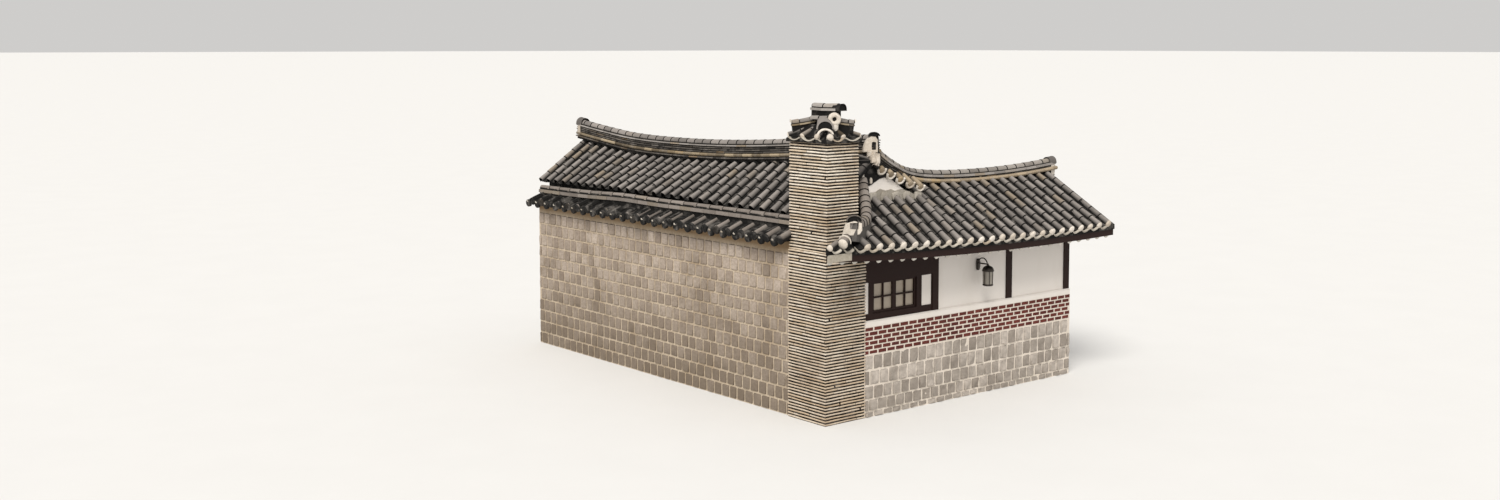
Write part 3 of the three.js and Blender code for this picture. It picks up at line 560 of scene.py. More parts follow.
def cover_row(piece, row, radius=COVER_R, neck=COVER_NECK, length=COVER_LENGTH):
    """Half-round tiles, each lapping over the narrower neck of the one below, with painted shade at the laps
    and on the flanks.
    """
    for at, size in tiles(row.length, length, 0.012, rest=0.04):
        tone = shade()
        dark = with_painted_shade(tone)
        side = (row.side + row.up * jitter(0.03)).normalized()
        base = row.low + row.up * at + row.side * jitter(0.004)
        top = base + row.up * size + row.side * jitter(0.003)
        rings = [half_ring(place, side, row.out, r, COVER_SKIRT)
                 for place, r in ((base, radius - 0.014), (base, radius), (base + row.up * 0.002, radius),
                                  (top - row.up * NECK_SHADE, neck),
                                  (top - row.up * (NECK_SHADE - 0.004), neck), (top, neck))]
        # Painted shade: the rings at the laps are darker, and so are the flanks low down.
        piece.skin(rings, [dark, tone, tone, tone, dark, dark], facing=row.out, across=FLANK_SHADE)


def lime_end(piece, row, radius, swell=0.045):
    """The lump of lime that fills the round end of a row's lowest tile."""
    tone = shade()
    sides = 14
    rings = []
    squash = 1.0 + jitter(0.06)
    for reach, forward in ((1.0, -0.02), (1.0, 0.0), (0.9, 0.5), (0.58, 0.88), (0.15, 1.0)):
        ring = []
        for k in range(sides):
            turn = 2 * math.pi * k / sides
            r = radius * reach * (1.0 + (jitter(0.05) if forward > 0 else 0.0))
            ring.append(row.low + row.side * (r * math.cos(turn)) + row.out * (r * squash * math.sin(turn))
                        - row.up * (swell * forward if forward > 0 else forward))
        rings.append(ring)
    piece.tube(rings, tone)


def pan_trough(piece, left, right, drop=0.055, rise=0.04):
    """The hollow tiles between two rows, laid in steps, with the face of each step painted dark as shade."""
    steps = max(1, round(max(left.length, right.length) / PAN_STEP))
    inset = COVER_R * 0.75
    step = 0.013
    rings = []
    tints = []
    for k in range(steps):
        tone = shade()
        dark = with_painted_shade(tone)
        start = k / steps
        # The face of each step is painted dark as shade.
        for t, lift, tint in ((start, 0.0, dark), (start, step, dark), (start + 1e-4, step, tone),
                              ((k + 1) / steps, 0.0, tone)):
            a = left.low.lerp(left.high, t)
            b = right.low.lerp(right.high, t)
            across = b - a
            wide = across.length
            ring = []
            for u in range(7):
                share = (inset + (wide - 2 * inset) * u / 6) / wide
                bow = (2 * u / 6 - 1) ** 2
                ring.append(a + across * share + left.out * (-drop + rise * bow + lift))
            rings.append(ring)
            tints.append(tint)
    piece.skin(rings, tints, facing=left.out)


def lip(piece, a, b, out, ahead, margin, sag, reach, thick):
    """The pale curved lip of the lowest hollow tile between two rows: its share left free on each side,
    its depth and bow, its reach to the front and back, and its thickness below and above."""
    tone = shade()
    rings = []
    for u in range(9):
        bow = (2 * u / 8 - 1) ** 2
        centre = a + (b - a) * (margin + (1.0 - 2 * margin) * u / 8) + out * (sag[0] + sag[1] * bow)
        front = centre + ahead * reach[0]
        back = centre - ahead * reach[1]
        rings.append([front - out * thick[0], front + out * thick[1], back + out * thick[1],
                      back - out * thick[0]])
    piece.tube(rings, tone)


def eave_lip(piece, left, right):
    lip(piece, left.low, right.low, left.out, -left.up, 0.14, (-0.078, 0.055), (0.045, 0.06), (0.028, 0.004))


def on_slope(height, x, y, lift=0.0):
    return Vector((x, y, height(x, y) + lift))


def to_valley(start, end, under):
    """The lowest place on a slope, from its eave up, where a row isn't under the other slope."""
    while start > end and under(start):
        start -= VALLEY_STEP
    return start


def south_rows():
    """Rows of the south front's slope, from the eave up to the hip, the gable or the ridge."""
    rows = []
    for k in range(int(LAST_ROW_X / PITCH) + 1):
        x = k * PITCH
        y = RIDGE_Y - 0.02
        lift = 0.0
        if x < HIP_TOP[-1][0]:
            y = interpolate([(a, b) for a, b, _ in HIP_TOP], x)
        elif x < GABLE_FOOT_X:
            y = GABLE_Y + 0.02
            lift = GABLE_LIFT
        rows.append(Row(on_slope(south_height, x, EAVE_Y), on_slope(south_height, x, y, lift)))
    return rows


def back_rows():
    """Rows of the south wing's slope towards the courtyard, down to the eave or the valley."""
    rows = []
    top = RIDGE_Y + 0.08
    for k in range(8, int(LAST_ROW_X / PITCH) + 1):
        x = k * PITCH
        low = to_valley(BACK_EAVE_Y, top,
                        lambda y: x < EAST_EAVE_X and west_height(x, y) > south_height(x, y))
        if low - top > 0.15:
            rows.append(Row(on_slope(south_height, x, low), on_slope(south_height, x, top)))
    return rows


def west_wing_rows(low_end, top):
    """Rows of one slope of the west wing, up to a place beside the ridge."""
    rows = []
    y = WEST_FIRST_Y
    while y < LAST_ROW_Y:
        low = low_end(y)
        if abs(low - top) > 0.2:
            rows.append(Row(on_slope(west_height, low, y), on_slope(west_height, top, y)))
        y += WEST_PITCH
    return rows


def west_foot(y):
    return WEST_NORTH_FOOT_X if y > CHIMNEY_NORTH else WEST_FOOT_X


def east_foot(y):
    return to_valley(EAST_EAVE_X + 0.03, 1.5,
                     lambda x: y < BACK_EAVE_Y and south_height(x, y) > west_height(x, y))


def tile_slope(name, rows, at_eave):
    """Covers, hollow tiles and, where a row reaches an eave, lime ends and pale lips."""
    covers, pans, ends, lips = pieces(4)
    for row in rows:
        cover_row(covers, row)
        if at_eave(row):
            lime_end(ends, row, COVER_R * 0.97)
    for a, b in zip(rows, rows[1:]):
        if (b.low - a.low).length > 2.5 * PITCH:
            continue
        pan_trough(pans, a, b)
        if at_eave(a) and at_eave(b):
            eave_lip(lips, a, b)
    covers.object(f"{name}_covers", "cover_clay", "tile")
    pans.object(f"{name}_pans", "pan_clay", "tile")
    if ends.points:
        ends.object(f"{name}_lime_ends", "lime_ends", "plaster")
        lips.object(f"{name}_lips", "edge_clay", "tile")


def corner_edge():
    """Curved tile edges and the pale board at the eave's south-west corner."""
    edges, lips, board = pieces(3)
    rows = []
    for x, reach in ((-0.93, 0.08), (-0.62, 0.2), (-0.31, 0.3), (0.0, 0.3)):
        low = on_slope(south_height, x, EAVE_Y)
        rows.append(Row(low, low + Vector((0, reach, reach * SLOPE))))
    for a, b in zip(rows, rows[1:]):
        pan_trough(edges, a, b)
        eave_lip(lips, a, b)
    low, high = (-0.95, -0.73, 3.235), (-0.37, -0.7, 3.375)
    board.tube([[Vector((x, y, z)) for x, y in ((low[0], low[1]), (high[0], low[1]), (high[0], high[1]),
                                                (low[0], high[1]))] for z in (low[2], high[2])], shade())
    edges.object("corner_tiles", "pan_clay", "tile")
    lips.object("corner_lips", "edge_clay", "tile")
    board.object("corner_board", "pale_board", "timber")


def rafter_ends():
    ends = Piece()
    x = -0.82
    y = -0.64
    while x < LAST_ROW_X:
        lathe(ends, on_slope(south_height, x, y, -0.335),
              [(0.001, 0.008), (0.057, 0.007), (0.0615, 0.0), (0.0615, -0.02)], shade(), 16,
              Vector((0, -1, -SLOPE)).normalized())
        x += PITCH
    ends.object("rafter_ends", "white_paint", "timber")


# Ridges: stacks of tile layers along a path

class Path:
    """A path of points that can be asked for a place, a direction and a side at any length."""

    def __init__(self, points):
        self.points = [Vector(p) for p in points]
        self.marks = [0.0]
        for a, b in zip(self.points, self.points[1:]):
            self.marks.append(self.marks[-1] + (b - a).length)
        self.length = self.marks[-1]

    def at(self, s):
        s = min(max(s, 0.0), self.length)
        for k in range(len(self.points) - 1):
            if s <= self.marks[k + 1]:
                t = (s - self.marks[k]) / (self.marks[k + 1] - self.marks[k])
                return self.points[k].lerp(self.points[k + 1], t)
        return self.points[-1]

    def frame(self, s):
        ahead = (self.at(s + 0.08) - self.at(s - 0.08)).normalized()
        side = ahead.cross(UP).normalized()
        return self.at(s), side, side.cross(ahead).normalized()


def smooth(points):
    """Rounds the corners of a path by cutting them twice, with its ends kept."""
    points = [Vector(p) for p in points]
    for _ in range(2):
        cut = [points[0]]
        for a, b in zip(points, points[1:]):
            cut += [a.lerp(b, 0.25), a.lerp(b, 0.75)]
        points = cut + [points[-1]]
    return Path(points)


def flat_layer(piece, path, drop, thick, half, tile=0.3, ragged=0.008):
    """A layer of flat tiles: separate slabs with open joints."""
    for s, size in tiles(path.length, tile, 0.03):
        tone = shade()
        wide = half + jitter(ragged)
        rings = []
        for k in range(4):
            centre, side, out = path.frame(s + 0.003 + (size - 0.006) * k / 3)
            low = centre - out * (drop + thick) + side * jitter(0.002)
            high = centre - out * drop
            rings.append([low + side * wide, high + side * (wide - 0.004), high - side * (wide - 0.004),
                          low - side * wide])
        piece.tube(rings, tone)


def round_layer(piece, path, drop, radius, tile=0.3, skirt=0.03, joint=1.0):
    """A row of half-round tiles laid along a ridge, each painted darker at both ends as shade where they
    lap.
    """
    for s, size in tiles(path.length, tile, 0.015):
        tone = shade()
        dark = with_painted_shade(tone, joint)
        rings = []
        for t, r in ((0.0, radius - 0.02), (0.0, radius), (0.004, radius), (size * 0.5, radius - 0.003),
                     (size - 0.022, radius - 0.007), (size - 0.014, radius - 0.016), (size, radius - 0.016)):
            centre, side, out = path.frame(s + t)
            rings.append(half_ring(centre - out * (drop + radius), side, out, r, skirt))
        # Painted shade at both ends of each tile, where they lap.
        piece.skin(rings, [dark, dark, tone, tone, tone, dark, dark], facing=UP)


def round_edges(piece, path, drop, radius, half, start=0.0):
    """Tiles laid with a rounded edge showing on each side of the stack."""
    for s, size in tiles(path.length, 0.3, 0.02, start):
        tone = shade()
        for sign in (-1, 1):
            rings = []
            for k in range(4):
                centre, side, out = path.frame(s + 0.004 + (size - 0.008) * k / 3)
                middle = centre - out * (drop + radius) + side * (sign * (half - radius * 0.6))
                rings.append([middle + side * (sign * radius * math.cos(a)) + out * (radius * math.sin(a))
                              for a in [math.pi * (q / 4 - 1) for q in range(8)]])
            piece.tube(rings, tone)


def heart(piece, path, drop, depth, half):
    """The heart behind the layers, painted dark as the shade between them."""
    rings = []
    steps = max(2, int(path.length / 0.15))
    for k in range(steps + 1):
        centre, side, out = path.frame(0.012 + (path.length - 0.024) * k / steps)
        low = centre - out * (drop + depth)
        high = centre - out * drop
        rings.append([low + side * half, high + side * half, high - side * half, low - side * half])
    piece.tube(rings, HEART_TONE)


def main_ridge(name, path, radius, pale, stack, edges, foot, depth, looks):
    """A round row, a pale layer, thin uneven layers with a tan one under them, and the heart."""
    body, top, light, tan = pieces(4)
    round_layer(top, path, 0.0, radius)
    flat_layer(light, path, *pale)
    for layer in stack:
        flat_layer(body, path, *layer)
    round_edges(tan, path, *edges)
    for layer in foot:
        flat_layer(body, path, *layer)
    heart(body, path, *depth)
    top.object(f"{name}_top", looks[0], "ridge_tile")
    light.object(f"{name}_light_layer", "layer_grey", "ridge_tile")
    tan.object(f"{name}_tan_layer", looks[1], "ridge_tile")
    return body.object(f"{name}_stack", "stack_clay", "ridge_tile")


def main_ridges():
    """The west wing's tall ridge and the south wing's lower one."""
    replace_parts(main_ridge(
        "west_ridge", smooth([(RIDGE_X, y, z) for y, z in WEST_RIDGE_TOP]), 0.09,
        (0.118, 0.024, 0.138, 0.34),
        [(0.168, 0.022, 0.118, 0.26, 0.014), (0.212, 0.024, 0.124, 0.28, 0.014),
         (0.258, 0.022, 0.118, 0.27, 0.014)],
        (0.3, 0.034, 0.132), [(0.385, 0.026, 0.15, 0.3)], (0.09, 0.38, 0.1),
        ("cover_clay", "layer_tan")), "ridge_west")
    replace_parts(main_ridge(
        "south_ridge", smooth(SOUTH_RIDGE), 0.08, (0.1, 0.045, 0.12, 0.33),
        [(0.166, 0.022, 0.104, 0.27, 0.012), (0.204, 0.02, 0.098, 0.27, 0.012)],
        (0.185, 0.04, 0.16, SOUTH_TAN_START), [], (0.08, 0.32, 0.082),
        ("ridge_row", "row_tan")), "ridge_south")


def wall_cap():
    """The lane wall's own cap: short rows with dark round ends, a lobe hanging between each two of them with
    a pale knob on it as a painted highlight, and a ridge of one round row on one flat layer."""
    low, high = node_box("west_wall_cap_ridge")
    covers, ends, highlight_knobs, ridge, layer, body = pieces(6)
    radius = 0.09
    spacing = 0.394
    y = low.y + 0.035
    while y < high.y - 0.1:
        row = Row(Vector((-0.55, y, 3.44)), Vector((-0.14, y, 3.602)))
        cover_row(covers, row, radius, 0.082, 0.45)
        round_end(ends, row.low, -row.up, radius)
        lobe = row.low + Vector((0.0, 0.175, -0.055))
        round_end(ends, lobe, Vector((-1, 0, -0.15)).normalized(), 0.088)
        # A pale knob on each lobe: a painted highlight.
        lump(highlight_knobs, lobe + Vector((-0.02, 0.01, 0.052)), (0.024, 0.034, 0.026), y, 2)
        y += spacing
    covers.object("wall_cap_covers", "cover_warm", "tile")
    ends.object("wall_cap_ends", "end_disc", "tile")
    highlight_knobs.object("wall_cap_highlight_knobs", "edge_clay", "tile")
    path = smooth([(WALL_CAP_X, y, z) for y, z in WALL_CAP_TOP])
    round_layer(ridge, path, 0.0, 0.056, 0.44, 0.02, 0.45)
    flat_layer(layer, path, 0.104, 0.072, 0.088, 0.4)
    heart(body, path, 0.06, 0.27, 0.055)
    ridge.object("wall_cap_ridge", "cover_warm", "ridge_tile")
    layer.object("wall_cap_layer", "cover_warm", "ridge_tile")
    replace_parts(body.object("wall_cap_heart", "edge_dark", "ridge_tile"), "west_wall_cap_ridge")


def round_end(piece, centre, axis, radius):
    """A round tile end with a shallow rim."""
    lathe(piece, centre + axis * 0.02,
          [(0.001, 0.004), (radius * 0.62, 0.004), (radius * 0.72, 0.013), (radius * 0.9, 0.012),
           (radius, 0.0), (radius, -0.05)], shade(), 20, axis)


def hip():
    """The hip ridge beside the chimney, the mortar box at its foot and two tiles below it."""
    path = smooth(HIP_TOP)
    covers, body, lime, dark = pieces(4)
    round_layer(covers, path, 0.0, 0.105, 0.16, 0.05)
    heart(body, path, 0.1, 0.34, 0.085)
    foot = Vector((-0.215, -0.63, 0.0))
    arch_tile(covers, dark, foot - FACING * 0.03 + UP * 3.935, FACING, 0.155, 0.0, 0.16, 0.7)
    hollowed(lime, body, foot, FACING, HIP_BLOCK, HIP_HOLLOW)
    tail = Row(Vector((-0.6, -0.735, 3.556)), Vector((-0.41, -0.64, 3.63)))
    cover_row(covers, tail, 0.103, 0.095, 0.3)
    lime_end(lime, tail, 0.096, 0.05)
    rim(lime, tail.low + tail.up * 0.11, tail.up, tail.out, 0.11, 0.014, -20, 200)
    small = Row(Vector((-0.92, -0.735, 3.505)), Vector((-0.6, -0.6, 3.57)))
    cover_row(covers, small, 0.06, 0.055, 0.4)
    lime_end(lime, small, 0.06, 0.03)
    covers.object("hip_covers", "cover_warm", "ridge_tile")
    lime.object("hip_lime", "lime_ends", "plaster")
    dark.object("hip_arch", "edge_dark", "ridge_tile")
    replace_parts(body.object("hip_body", "layer_grey", "ridge_tile"), "hip_ridge")


def peak():
    """The mortar block, arch tile and lime at the high south end of the west ridge."""
    lime, dark, small = pieces(3)
    middle = Vector((1.12, 0.25, 0.0))
    right = UP.cross(FACING)

    def spot(u, z):
        return middle + right * u + UP * z

    arch_tile(dark, dark, spot(0.0, 5.4), FACING, 0.115, 0.0, 0.14, 0.72)
    hollowed(lime, dark, middle, FACING, PEAK_BLOCK, PEAK_HOLLOW)
    for place, size, seed in ((spot(0.0, 4.975), (0.1, 0.08, 0.125), 3.0),
                              (spot(0.06, 4.93), (0.05, 0.05, 0.1), 6.0),
                              (spot(-0.07, 5.05), (0.06, 0.06, 0.05), 9.0),
                              (spot(-0.24, 4.61), (0.05, 0.05, 0.1), 5.0)):
        lump(lime, place, size, seed, 4, 0.55)
    for u, z in ((-0.31, 5.0), (-0.34, 4.92), (-0.33, 4.83), (-0.27, 4.75), (-0.18, 4.72)):
        cover_row(small, Row(spot(u, z), spot(-0.04, 4.93)), 0.05, 0.044, 0.45)
    for y, lift in ((0.36, 0.03), (0.56, 0.0)):
        row = Row(on_slope(west_height, 0.62, y, lift), on_slope(west_height, 1.1, y, lift))
        cover_row(small, row, 0.09, 0.08, 0.22)
    lime.object("peak_lime", "lime_ends", "plaster")
    dark.object("peak_hollows", "edge_dark", "ridge_tile")
    small.object("peak_tiles", "cover_clay", "ridge_tile")


def ridge_ends():
    """The far ends of both ridges, closed as the peak is."""
    lime, dark, arches = pieces(3)
    for mouth, out, half in ((Vector((RIDGE_X, 10.66, 5.22)), NORTH, 0.13),
                             (Vector((7.41, RIDGE_Y, 4.54)), EAST, 0.11)):
        arch_tile(arches, dark, mouth, out, half + 0.02)
        hollowed(lime, dark, mouth - UP * 0.13, out, rounded(half, 0.15), rounded(0.04, 0.06))
    lime.object("ridge_end_lime", "lime_ends", "plaster")
    dark.object("ridge_end_hollows", "edge_dark", "ridge_tile")
    arches.object("ridge_end_tiles", "cover_clay", "ridge_tile")


def sheet(piece, outline, front, back, tone):
    """A flat piece of a given outline that faces south."""
    rings = [[Vector((x, y, z)) for x, z in outline] for y in (back, front)]
    piece.skin(rings, tone, closed=True)
    piece.lid(rings[-1], tone)


def gable():
    """Verge tiles with pale rims over the plaster patch, and mortar at the tops of the rows."""
    lime, mortar, dark, tan = pieces(4)
    for x, z in VERGE:
        row = Row(Vector((x, 0.33, z)), Vector((x + 0.05, 0.62, z + 0.15)))
        cover_row(tan, row, 0.07, 0.064, 0.34)
        rim(lime, row.low, row.up, row.out, 0.088, 0.026, 165, 375)
        lime_end(tan, row, 0.068, 0.015)
    sheet(mortar, GABLE_MORTAR, GABLE_Y - 0.02, GABLE_Y + 0.03, shade())
    for k in range(4, 9):
        x = k * PITCH
        top = Vector((x, GABLE_Y - 0.03, south_height(x, GABLE_Y) + 0.15))
        lump(mortar, top, (0.1, 0.03, 0.09), k * 1.7)
    sheet(dark, GABLE_SHADE, GABLE_Y - 0.012, GABLE_Y + 0.02, (0.2, 0.2, 0.2))
    lump(lime, Vector((1.19, GABLE_Y - 0.02, 4.52)), (0.03, 0.02, 0.06), 2.0)
    lime.object("verge_rims", "lime_ends", "plaster")
    tan.object("verge_tiles", "row_tan", "tile")
    mortar.object("gable_mortar", "gable_mortar", "plaster")
    dark.object("gable_shade", "edge_dark", "tile")


# Masonry: walls of blocks, the brick band and the chimney's courses

class Wall:
    """The face of a wall's solid that looks one way, with the way it runs."""

    def __init__(self, node, along, out):
        low, high = node_box(node)
        self.low = low.z
        self.high = high.z
        self.origin = Vector((high.x if out.x > 0 else low.x, high.y if out.y > 0 else low.y, 0.0))
        self.length = (high - low).dot(along)
        self.along = along
        self.out = out

    def at(self, u, z):
        return self.origin + self.along * u + UP * z


def stone(piece, wall, start, end, low, high, proud, rough, sides):
    """One rough-faced block that stands proud of its joints, with painted shade at its rim."""
    tone = shade()
    rim_tone = with_painted_shade(tone, RIM_PAINTED_SHADE)
    seed = Vector((rng.random() * 50, rng.random() * 50, 0))
    marks = [0.0, 0.07, *(0.07 + 0.86 * k / (sides - 2) for k in range(1, sides - 2)), 0.93, 1.0]
    last = len(marks) - 1
    tilt = jitter(0.003)
    rows = []
    for j, v in enumerate(marks):
        row = []
        for i, u in enumerate(marks):
            here = wall.at(start + (end - start) * u, low + (high - low) * v)
            depth = -0.003
            if 0 < i < last and 0 < j < last:
                depth = proud + tilt + rough * noise.noise(here * 7.0 + seed)
                here += wall.along * jitter(0.004) + UP * jitter(0.004)
            row.append(here + wall.out * depth)
        rows.append(row)
    tints = [rim_tone, *[tone] * (last - 1), rim_tone]
    piece.skin(rows, tints, facing=wall.out, across=[RIM_PAINTED_SHADE, *[0.0] * (last - 1), RIM_PAINTED_SHADE])


def courses(piece, wall, lines, size, joint, proud, rough, sides=4, wander=0.012):
    """Blocks in running bond between the given course lines."""
    gap = joint / 2
    for k, (high, low) in enumerate(zip(lines, lines[1:])):
        u = -size * (0.5 if k % 2 else 0.0) + jitter(wander)
        while u < wall.length:
            wide = size + jitter(wander)
            start = max(u + gap, gap)
            end = min(u + wide - gap, wall.length - gap)
            if end - start > 0.05:
                stone(piece, wall, start, end, low + gap, high - gap, proud, rough, sides)
            u += wide


def stone_walls():
    """The lane wall's stones, the south front's, and those of the walls and steps that the photo hides."""
    lane, front = pieces(2)
    courses(lane, Wall("west_wall", NORTH, -EAST), LANE_LINES, *LANE_STYLE)
    lane.object("lane_wall_stones", "lane_stone", "lane_stone")
    courses(front, Wall("south_stone_base", EAST, -NORTH), FRONT_LINES, *FRONT_STYLE)
    for name, along, out in (("east_base", NORTH, EAST), ("north_base", EAST, NORTH),
                             ("courtyard_west_base", NORTH, EAST), ("courtyard_south_base", EAST, NORTH),
                             ("courtyard_west_step", NORTH, EAST), ("courtyard_south_step", EAST, NORTH)):
        wall = Wall(name, along, out)
        top = wall.high - 0.01
        count = round((wall.high - wall.low) / HIDDEN_COURSE)
        lines = [top - (top - wall.low) * k / count for k in range(count + 1)]
        courses(front, wall, lines, *FRONT_STYLE)
    front.object("front_stones", "front_stone", "front_stone")


def brick_band():
    bricks = Piece()
    courses(bricks, Wall("south_brick_band", EAST, -NORTH), BRICK_LINES, *BRICK_STYLE)
    bricks.object("bricks", "brick", "brick")


class Loop:
    """A box's four sides as one closed path: point and outward direction at a share of it."""

    def __init__(self, low, high):
        corners = [Vector((x, y, 0)) for x, y in ((low.x, low.y), (high.x, low.y), (high.x, high.y),
                                                  (low.x, high.y))]
        self.sides = list(zip(corners, corners[1:] + corners[:1]))
        self.marks = [0.0]
        for a, b in self.sides:
            self.marks.append(self.marks[-1] + (b - a).length)
        self.total = self.marks[-1]
        self.marks = [mark / self.total for mark in self.marks]

    def out(self, k):
        a, b = self.sides[k % 4]
        return (b - a).normalized().cross(UP)

    def at(self, share):
        share %= 1.0
        k = max(i for i in range(4) if self.marks[i] <= share + 1e-9)
        a, b = self.sides[k]
        part = (share - self.marks[k]) / (self.marks[k + 1] - self.marks[k])
        corner = abs(share - self.marks[k]) < 1e-7
        return a.lerp(b, part), self.out(k) + self.out(k - 1) if corner else self.out(k)

    def stops(self, start, end, step=0.1):
        count = max(1, int((end - start) * self.total / step))
        shares = {start + (end - start) * k / count for k in range(count + 1)}
        shares |= {mark + lap for mark in self.marks[:-1] for lap in (0, 1) if start < mark + lap < end}
        return [self.at(share) for share in sorted(shares)]


def course_run(bands, loop, z, start, end):
    """One stretch of a course, a little uneven in its height and depth."""
    tone = UNDER_CAP_TONE if z > UNDER_CAP_FROM else shade()
    set_back = jitter(0.003)
    profile = [(-0.006, 0.0), (0.010, 0.001), (0.017, 0.009), (0.016, LAYER_BAND - 0.008),
               (0.010, LAYER_BAND - 0.001), (-0.006, LAYER_BAND)]
    rings = []
    stops = loop.stops(start, end)
    for point, out in stops:
        wave = noise.noise(Vector((point.x * 2.3, point.y * 2.3, z * 9.0)))
        swell = noise.noise(Vector((point.x * 3.0, point.y * 3.0, z * 13.0 + 40.0)))
        ring = []
        for depth, rise in profile:
            lift = z + 0.012 + rise * (1.0 + 0.25 * swell) + wave * 0.005
            ring.append(point + out * (depth + set_back + 0.004 * swell) + UP * lift)
        rings.append(ring)
    bands.skin(rings, tone, facing=stops[(len(stops) - 1) // 2][1])


def chimney_courses():
    """Bands of mortar-laid tiles all round, each cut by a few joints."""
    bands = Piece()
    joint = 0.0008
    for name in ("chimney_base", "chimney_shaft"):
        low, high = node_box(name)
        loop = Loop(low, high)
        z = low.z
        while z + LAYER_BAND < high.z + 0.02:
            cuts = sorted(rng.random() for _ in range(5))
            for start, end in zip(cuts, cuts[1:] + [cuts[0] + 1.0]):
                if end - start > 0.01:
                    course_run(bands, loop, z, start + joint, end - joint)
            z += LAYER
    bands.object("chimney_courses", "chimney_mortar", "chimney", 60.0)


# The chimney's cap

def chimney_cap():
    """The chimney's small four-sided roof: a few rows a side, the vent, the hips and a short ridge."""
    low, high = node_box("chimney_cap")
    middle = (low + high) / 2
    covers, pans, lips, lime, dark, warm = pieces(6)
    foot = low.z + 0.115
    rows = []
    for x, y in ((low.x, high.y), (low.x, 0.65), (low.x, 0.23), (-0.31, low.y), (0.04, low.y),
                 (high.x, low.y), (high.x, 0.39), (high.x, 0.75), (high.x, high.y), (0.06, high.y)):
        start = Vector((x, y, 0))
        ahead = (Vector((middle.x, min(max(y, 0.3), 0.74), 0)) - start).normalized()
        corner = x in (low.x, high.x) and y in (low.y, high.y)
        start += ahead * (0.05 if corner else 0.02)
        end = start + ahead * (0.4 if corner else 0.3)
        rows.append(Row(start + UP * foot, end + UP * (foot + 0.13)))
    for k, row in enumerate(rows):
        cover_row(warm if k == 4 else covers, row, 0.062, 0.056, 0.25)
        # The two rows beside the vent end in bigger lumps.
        lime_end(lime, row, *((0.066, 0.04) if k in (2, 3) else (0.058, 0.025)))
    for a, b in zip(rows, rows[1:] + rows[:1]):
        pan_trough(pans, a, b, 0.03, 0.03)
        out = (b.low - a.low).cross(UP).normalized()
        if out.dot(middle - a.low) > 0:
            out = -out
        lip(lips, a.low, b.low, UP, out, 0.1, (-0.062, 0.05), (0.05, 0.02), (0.022, 0.0))
    vent(covers, lime, dark)
    cap_hips(covers, lime, dark, warm)
    cap_ridge(lime, dark, middle)
    covers.object("cap_covers", "cover_clay", "tile")
    pans.object("cap_pans", "pan_clay", "tile")
    lips.object("cap_lips", "edge_clay", "tile")
    warm.object("cap_tan_tiles", "layer_tan", "ridge_tile")
    lime.object("cap_lime", "lime_ends", "plaster")
    dark.object("cap_dark", "edge_dark", "ridge_tile")


def vent(covers, lime, dark):
    """The big arched tile at the front corner with a white arc below it."""
    mouth = Vector((-0.29, 0.1, 5.61))
    profile = [(-0.3, 0.1, 0.12), (0.0, 0.02, 0.155), (0.03, 0.0, 0.165), (0.03, 0.0, 0.135)]
    arch(covers, dark, mouth, FACING, profile, 0.02, 0.92, 0.015, (0.9, 0.1, 0.1))
    rim(lime, mouth + FACING * 0.07 - UP * 0.14, FACING, UP * 0.85, 0.14, 0.024, 12, 168)


def cap_hips(covers, lime, dark, warm):
    """The hips of the cap: a round row on a light layer, each with a pale arc at its outer end."""
    for inner, outer in ((Vector((0.063, 0.8, 5.8)), Vector((-0.32, 1.04, 5.73))),
                         (Vector((0.063, 0.24, 5.81)), Vector((0.39, 0.01, 5.745))),
                         (Vector((0.063, 0.8, 5.8)), Vector((0.42, 1.04, 5.73)))):
        path = Path([inner, (inner + outer) / 2 - UP * 0.008, outer])
        round_layer(covers, path, 0.0, 0.05, skirt=0.02)
        flat_layer(warm, path, 0.088, 0.03, 0.075)
        heart(dark, path, 0.07, 0.19, 0.05)
        ahead = Vector((outer.x - inner.x, outer.y - inner.y, 0)).normalized()
        rim(lime, outer - UP * 0.05, ahead, UP, 0.056, 0.01, 0, 190)


def cap_ridge(lime, dark, middle):
    """The short ridge in three layers with an arch tile, and the round pale opening below it."""
    low, high = node_box("chimney_cap_ridge")
    body, layers = pieces(2)
    ridge = Path([(middle.x, low.y - 0.1, high.z), (middle.x, middle.y, high.z - 0.008),
                  (middle.x, high.y - 0.02, high.z)])
    round_layer(layers, ridge, 0.0, 0.068, 0.4, 0.005)
    flat_layer(layers, ridge, 0.095, 0.045, 0.088, 0.4)
    heart(body, ridge, 0.06, 0.28, 0.06)
    beside = middle.x - 0.13
    round_layer(layers, Path([(beside, low.y + 0.05, 5.825), (beside, high.y - 0.08, 5.82)]), 0.0, 0.05,
                0.25, 0.02)
    mouth = Vector((middle.x, low.y - 0.16, high.z - 0.1))
    profile = [(-0.16, 0.0, 0.085), (0.03, 0.0, 0.095), (0.05, 0.0, 0.1), (0.05, 0.0, 0.085)]
    arch(dark, dark, mouth, -NORTH, profile, 0.04, 1.0, 0.03, (0.3, 0.5, 0.1), EAST)
    ring = Vector((-0.03, 0.125, 5.765))
    rim(lime, ring, FACING, UP, 0.082, 0.044)
    # A dark disc inside the pale ring: painted shade in the opening.
    lathe(dark, ring, [(0.001, 0.0), (0.07, 0.0), (0.07, -0.03)], HOLLOW_TONE, 16, FACING)
    lump(lime, ring + Vector((0.02, 0, -0.14)), (0.05, 0.05, 0.08), 8.0)
    layers.object("cap_ridge_layers", "layer_grey", "ridge_tile")
    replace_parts(body.object("cap_ridge_body", "edge_dark", "ridge_tile"), "chimney_cap_ridge")


